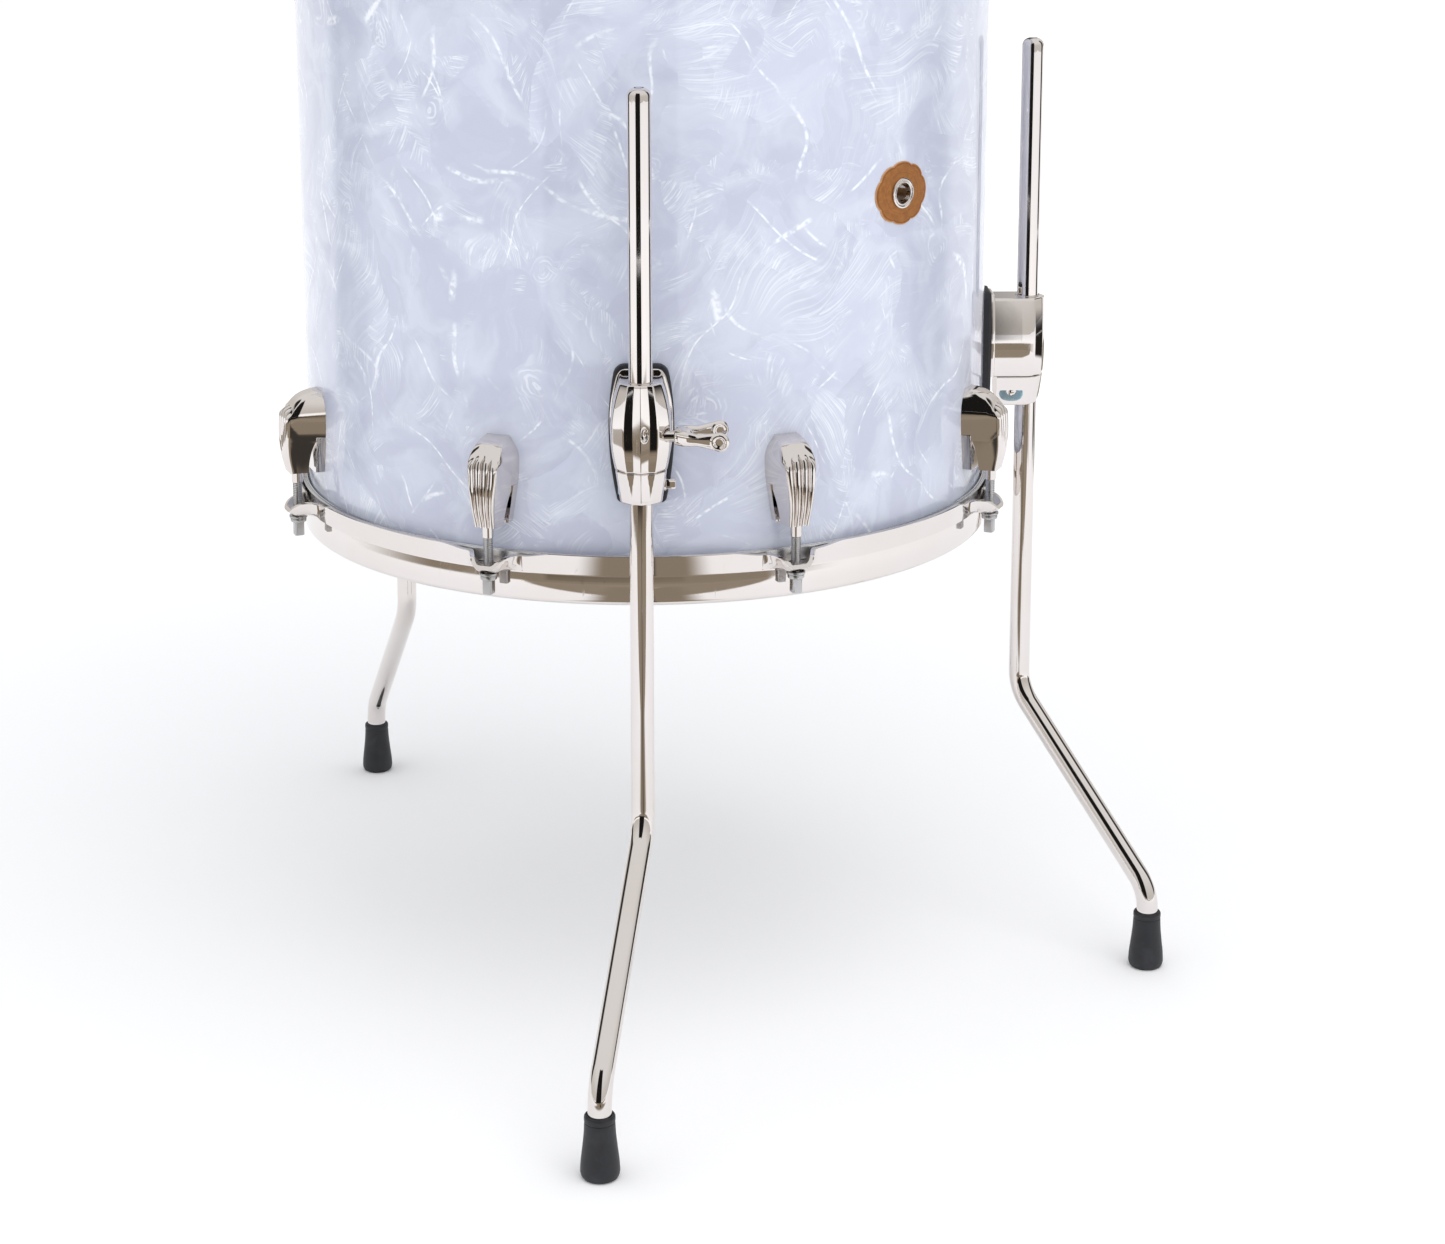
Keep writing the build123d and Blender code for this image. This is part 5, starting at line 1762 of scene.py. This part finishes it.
@dataclass
class Leg:
    """A half-inch rod with two bends, its top end domed, and its moulded rubber foot."""

    drum: Drum
    station: LegStation
    radius: float = 6.35
    top: float = 553.0
    bend: float = 150.0
    knee: float = 48.0
    bend_radius: float = 28.0
    end: float = 12.0
    dome: float = 4.5
    foot_height: float = 35.0

    def build(self) -> None:
        """Makes the rod and the foot."""
        side = self.station.side
        foot_low, foot_high = box_of(f"{side}_foot")
        foot = (foot_low + foot_high) / 2
        away = foot[:2] - self.station.leg[:2]
        splay = float(np.linalg.norm(away))
        rod = Skin.of(self.tube(splay, away / splay))
        rod.piece(f"{side}_leg_rod", f"{side}_leg", NICKEL, [f"{side}_leg"])
        boot = Skin.of((self.foot() + (foot[0], foot[1], 0)) * MM)
        boot.piece(f"{side}_foot_boot", f"{side}_leg", FOOT_RUBBER, [f"{side}_foot"], crease=50.0)

    def path(self, splay: float) -> Array:
        """The rod's middle line: straight runs joined by true arcs of the bend radius.

        Args:
            splay: how far the foot stands from the upright.

        Returns:
            Points (sideways, height), from the top down.
        """
        slope = math.atan2(splay, self.bend - self.knee)
        cut = self.bend_radius * math.tan(slope / 2)
        turn = np.linspace(0, slope, 17)[:, None]
        upper_centre = np.array([self.bend_radius, self.bend + cut])
        lower_centre = np.array([splay - self.bend_radius, self.knee - cut])
        upper = upper_centre + self.bend_radius * np.concatenate([-np.cos(turn), -np.sin(turn)], 1)
        lower = lower_centre + self.bend_radius * np.concatenate([np.cos(turn[::-1]), np.sin(turn[::-1])], 1)
        return spaced(np.concatenate([[(0, self.top)], upper, lower, [(splay, self.end)]]), 9.0)

    def tube(self, splay: float, way: Array) -> Array:
        """A circle carried along the path in the path's own plane, with a domed top and a closed lower end.

        Args:
            splay: how far the foot stands from the upright.
            way: unit direction from the upright to the foot.

        Returns:
            World points in metres.
        """
        path = self.path(splay)
        slope = np.gradient(path, axis=0)
        slope /= np.linalg.norm(slope, axis=1)[:, None]
        normal = np.stack([-slope[:, 1], slope[:, 0]], -1)
        quarter = np.linspace(0, np.pi / 2, 8)
        flat_radius = self.radius - self.dome
        cap_radius = np.concatenate([[0, 0.4 * self.radius], flat_radius + self.dome * np.sin(quarter)])
        cap_height = self.top - np.concatenate([[0, 0], self.dome - self.dome * np.cos(quarter)])
        cap_path = np.stack([np.zeros_like(cap_height), cap_height], -1)
        body = path[:, 1] < self.top - self.dome - 0.5
        path, normal = path[body], normal[body]
        centres = np.concatenate([cap_path, path, path[-1:]])
        normals = np.concatenate([np.tile([1.0, 0.0], (len(cap_path), 1)), normal, normal[-1:]])
        normals = normals * np.sign(normals[:, :1] + 1e-9)
        radii = np.concatenate([cap_radius, np.full(len(path), self.radius), [0.0]])[:, None]
        angle = np.linspace(0, 2 * np.pi, 41)[None, :]
        sideways = centres[:, :1] + radii * np.cos(angle) * normals[:, :1]
        z = centres[:, 1:] + radii * np.cos(angle) * normals[:, 1:]
        cross = radii * np.sin(angle)
        x = self.station.leg[0] + sideways * way[0] - cross * way[1]
        y = self.station.leg[1] + sideways * way[1] + cross * way[0]
        return xyz(x, y, z) * MM

    def foot(self) -> Array:
        """The boot: a flared base with a tread groove, a waist, a beaded mouth round the rod.

        Returns:
            The boot's grid about its own axis.
        """
        high, bore = self.foot_height, self.radius + SEAT
        profile = rounded(
            [(0, 0, 0), (6.2, 0, 0.4), (6.5, 0.7, 0.3), (7, 0.7, 0.3), (7.3, 0, 0.3), (9.4, 0.25, 1.2),
             (10.5, 3.0, 2.0), (10.2, 9.0, 4), (9.3, 16.0, 6), (8.4, 24.0, 6), (8.1, 30.6, 0.4),
             (8.0, 30.9, 0.3), (7.8, 31.2, 0.3), (8.2, 31.8, 0.5), (8.2, high - 0.9, 0.8), (7.5, high, 0.5),
             (bore, high - 0.1, 0.3), (bore, self.end - 0.05, 0.2), (0, self.end - 0.05, 0)], 4, closed=False)
        return revolved(profile, 56)


# ---- kept CAD pieces, studio and camera


def dress_kept_nodes() -> None:
    """Gives the CAD nodes that stay as they are their finishes."""
    kept = {
        "shell": MAPLE,
        "lug_screws": PLAIN_STEEL,
        "lug_washers": PLAIN_STEEL,
        "bracket_screws": PLAIN_STEEL,
        "bracket_washers": PLAIN_STEEL,
        "clamp_shoes": PLAIN_STEEL,
    }
    for name, finish in kept.items():
        data = frame["nodes"][name].data
        if not data.materials:
            data.materials.append(None)
        for index in range(len(data.materials)):
            data.materials[index] = finish.material()
        log.info("%s keeps its CAD shape in %s", name, finish.name)


@dataclass
class Studio:
    """A pale floor that glows more far off, a soft white surround, dark cards for the metal to mirror, and
    the camera.
    """

    camera_place: tuple[float, float, float] = (-0.0315, -1.6794, 0.7401)
    camera_pitch: float = 12.21
    camera_yaw: float = 0.92
    lens: float = 72.40
    frame_shift: float = -0.1932  # the frame is the lower part of a taller view
    floor_colour: Colour = (0.96, 0.96, 0.965)
    # Azimuths, in degrees, between which the brown aprons and the dark floor and wall cards stand: glowing
    # sheets that only the metal mirrors, painted reflections
    aprons: tuple[tuple[float, float], ...] = ((-105.0, 65.0), (115.0, 205.0))
    darks: tuple[tuple[float, float], ...] = ((-33.0, 11.0), (88.0, 122.0), (166.0, 198.0), (-122.0, -94.0))

    def build(self) -> None:
        """Makes the whole set."""
        self.build_world()
        self.build_floor()
        self.build_cards()
        self.build_lights()
        self.build_camera()
        settings = bpy.context.scene.view_settings
        settings.view_transform = "Standard"
        settings.look = "None"

    def build_world(self) -> None:
        """White as seen and as light, warm grey as mirrored by the metal."""
        world = bpy.data.worlds.new("Studio surround")
        bpy.context.scene.world = world
        world.use_nodes = True
        tree = Tree(world.node_tree)
        rays = tree.add("LightPath").outputs
        up = tree.add("SeparateXYZ", {0: tree.add("TexCoord").outputs["Generated"]}).outputs[2]
        mirrored = tree.blend(tree.ramp(up, 0.0, 0.7), (0.66, 0.635, 0.60), (0.86, 0.85, 0.84))
        seen = tree.add("Background", {0: (1.0, 1.0, 1.0), 1: 1.0}).outputs[0]
        gloss = tree.add("Background", {0: mirrored, 1: 1.0}).outputs[0]
        ambient = tree.add("Background", {0: (0.97, 0.98, 1.0), 1: 0.93}).outputs[0]
        lit = tree.add("MixShader", {0: rays["Is Glossy Ray"], 1: ambient, 2: gloss}).outputs[0]
        whole = tree.add("MixShader", {0: rays["Is Camera Ray"], 1: lit, 2: seen}).outputs[0]
        tree.add("OutputWorld", {0: whole})

    def sheet(self, name: str, grid: Array, shader: bpy.types.Material) -> bpy.types.Object:
        """Puts up one sheet of the set, its map running from 0 to 1 each way.

        Args:
            name: the sheet's name.
            grid: its points in metres, shape (rows, columns, 3).
            shader: its material.

        Returns:
            The object, marked as part of the set.
        """
        share = np.meshgrid(np.linspace(0, 1, grid.shape[1]), np.linspace(0, 1, grid.shape[0]))
        skin = Skin()
        skin.add(grid, np.stack(share, -1))
        mesh = skin.mesh(name, 30.0, False)
        mesh.materials.append(shader)
        thing = bpy.data.objects.new(name, mesh)
        bpy.context.scene.collection.objects.link(thing)
        return thing

    def build_floor(self) -> None:
        """One pale matt floor that glows more the farther it is from the drum: painted light that keeps the
        far floor white.
        """
        made = bpy.data.materials.new("Studio floor")
        made.use_nodes = True
        tree = Tree(made.node_tree)
        matt = {"Base Color": self.floor_colour, "Roughness": 0.9, "Specular IOR Level": 0.1}
        shader = tree.add("BsdfPrincipled", matt)
        # Painted light: the floor glows, from nothing within half a metre of the set's middle up to 0.22 at
        # 2.2 m
        away = tree.vector("LENGTH", tree.add("TexCoord").outputs["Object"])
        lift = tree.ramp(away, 0.5, 2.2)
        far_floor_glow = tree.blend(lift, (0.0, 0.0, 0.0), (0.22, 0.22, 0.22))
        tree.feed(shader, {"Emission Color": far_floor_glow, "Emission Strength": 1.0})
        tree.add("OutputMaterial", {0: shader.outputs[0]})
        xs, ys = np.meshgrid([-6.0, 6.0], [-6.0, 6.0])
        self.sheet("studio_floor", np.stack([xs, ys, np.zeros_like(xs)], -1), made)

    def glow(self, name: str, colour: Colour, soft: tuple[float, float]) -> bpy.types.Material:
        """A glowing material for cards that fades out near the edges of the card's map.

        Args:
            name: the material's name.
            colour: what it shows in a mirror.
            soft: share of the card's width and of its height that fades, at each edge.

        Returns:
            The material.
        """
        made = bpy.data.materials.new(name)
        made.use_nodes = True
        tree = Tree(made.node_tree)
        share = tree.add("SeparateXYZ", {0: tree.add("UVMap", uv_map="Surface").outputs[0]}).outputs
        fades = []
        for axis, width in enumerate(soft):
            off_middle = tree.math("ABSOLUTE", tree.math("SUBTRACT", share[axis], 0.5))
            fades.append(tree.ramp(tree.math("SUBTRACT", 0.5, off_middle), -0.001, width))
        glowing = tree.add("Emission", {0: colour, 1: 1.0}).outputs[0]
        clear = tree.add("BsdfTransparent").outputs[0]
        mixed = tree.add("MixShader", {0: tree.times(*fades), 1: clear, 2: glowing}).outputs[0]
        tree.add("OutputMaterial", {0: mixed})
        return made

    def card(self, name: str, grid: Array, shader: bpy.types.Material) -> None:
        """Puts up a card that shows in reflections alone.

        Args:
            name: the card's name.
            grid: its points in metres.
            shader: its material.
        """
        card = self.sheet(f"card_{name}", grid, shader)
        card.visible_camera = False
        card.visible_diffuse = False
        card.visible_transmission = False
        card.visible_volume_scatter = False
        card.visible_shadow = False

    def build_cards(self) -> None:
        """Glowing cards that only reflections show, painted reflections: a brown oval and tongue on the floor
        in front, and dark sheets for the black lines in the metal.
        """
        brown = self.glow("Card brown", (0.34, 0.285, 0.22), (0.0, 0.10))
        around, out = np.meshgrid(np.linspace(0, 2 * np.pi, 65), np.linspace(-1, 1, 9))
        wide, deep = 0.42 * (1 + out), 0.15 * (1 + out)
        oval = np.stack([-0.02 + wide * np.cos(around), -1.06 + deep * np.sin(around)], -1)
        self.card("oval", self.laid(oval, 0.0015), brown)
        tongue = np.stack(np.meshgrid(np.linspace(-0.30, 0.20, 3), np.linspace(-1.1, -0.42, 5)), -1)
        soft_brown = self.glow("Card brown soft", (0.30, 0.25, 0.19), (0.22, 0.10))
        self.card("tongue", self.laid(tongue, 0.003), soft_brown)
        line = np.stack(np.meshgrid(np.linspace(-0.075, -0.005, 3), np.linspace(-1.5, -0.46, 5)), -1)
        soft_dark = self.glow("Card black soft", (0.05, 0.045, 0.04), (0.25, 0.10))
        self.card("line", self.laid(line, 0.0075), soft_dark)
        for number, (start, end) in enumerate(self.aprons):
            azimuth, reach = np.meshgrid(np.radians(np.linspace(start, end, 41)), np.linspace(1.2, 1.9, 5))
            apron = np.stack([reach * np.sin(azimuth), -reach * np.cos(azimuth)], -1)
            self.card(f"apron_{number}", self.laid(apron, 0.0045), soft_brown)
        front_dark = self.glow("Card black", (0.012, 0.011, 0.010), (0.05, 0.12))
        side_dark = self.glow("Card black side", (0.02, 0.018, 0.016), (0.32, 0.12))
        for number, (start, end) in enumerate(self.darks):
            dark = side_dark if number else front_dark
            azimuth = np.radians(np.linspace(start, end, 13))
            reach = np.linspace(1.26, 2.7, 6)[:, None]
            floor = np.stack([reach * np.sin(azimuth), -reach * np.cos(azimuth)], -1)
            self.card(f"floor_{number}", self.laid(floor, 0.006), dark)
            wall = self.laid(np.broadcast_to(floor[-1:], (5, 13, 2)), 0.0)
            wall[..., 2] = np.linspace(-0.45, 3.6, 5)[:, None]
            self.card(f"wall_{number}", wall, dark)

    def laid(self, flat: Array, height: float) -> Array:
        """Gives flat points a height."""
        return xyz(flat[..., 0], flat[..., 1], height)

    def build_lights(self) -> None:
        """A large soft key from the right and above, and a weaker fill from the left."""
        for name, place, size, power in (
            ("key_softbox", (0.7, -1.15, 2.8), 2.2, 25.0),
            ("fill_softbox", (-2.0, -0.6, 2.1), 2.4, 5.0),
        ):
            light = bpy.data.lights.new(name, "AREA")
            light.size = size
            light.energy = power
            light.color = (1.0, 0.985, 0.97)
            thing = bpy.data.objects.new(name, light)
            bpy.context.scene.collection.objects.link(thing)
            thing.location = place
            away = np.array(place) - np.array((0.0, 0.0, 0.35))
            yaw = math.atan2(away[0], -away[1])
            tilt = math.atan2(math.hypot(away[0], away[1]), away[2])
            thing.rotation_euler = (tilt, 0.0, yaw)
            thing.visible_glossy = False

    def build_camera(self) -> None:
        """A camera a little above the drum's middle, looking slightly down."""
        data = bpy.data.cameras.new("Camera")
        data.lens = self.lens
        data.sensor_width = 36.0
        data.sensor_fit = "HORIZONTAL"
        data.shift_y = self.frame_shift
        data.clip_start = 0.05
        camera = bpy.data.objects.new("Camera", data)
        bpy.context.scene.collection.objects.link(camera)
        camera.location = self.camera_place
        camera.rotation_euler = (math.radians(90 - self.camera_pitch), 0.0, math.radians(-self.camera_yaw))
        bpy.context.scene.camera = camera


WING_TURNS = {"front": 4.0, "right": 62.0, "back": 28.0}


def main() -> None:
    """Builds each sub-assembly in order, dresses the kept nodes, and sets up the studio."""
    logging.basicConfig(level=logging.INFO, format="%(name)s: %(message)s")
    drum = Drum.from_frame()
    stations = [LegStation.from_frame(side, drum) for side in SIDES]
    Studio().build()
    ShellDress(drum).build()
    Lugs(drum).build()
    for side, film in (("resonant", CLEAR_FILM), ("batter", COATED_FILM)):
        Hoop(drum).build(side)
        Head(drum).build(side, film)
        TensionRods(drum).build(side)
    Gaskets(drum).build(stations)
    for station in stations:
        Bracket(drum, station).build(WING_TURNS[station.side])
        Leg(drum, station).build()
    dress_kept_nodes()


if __name__ == "__main__":
    main()
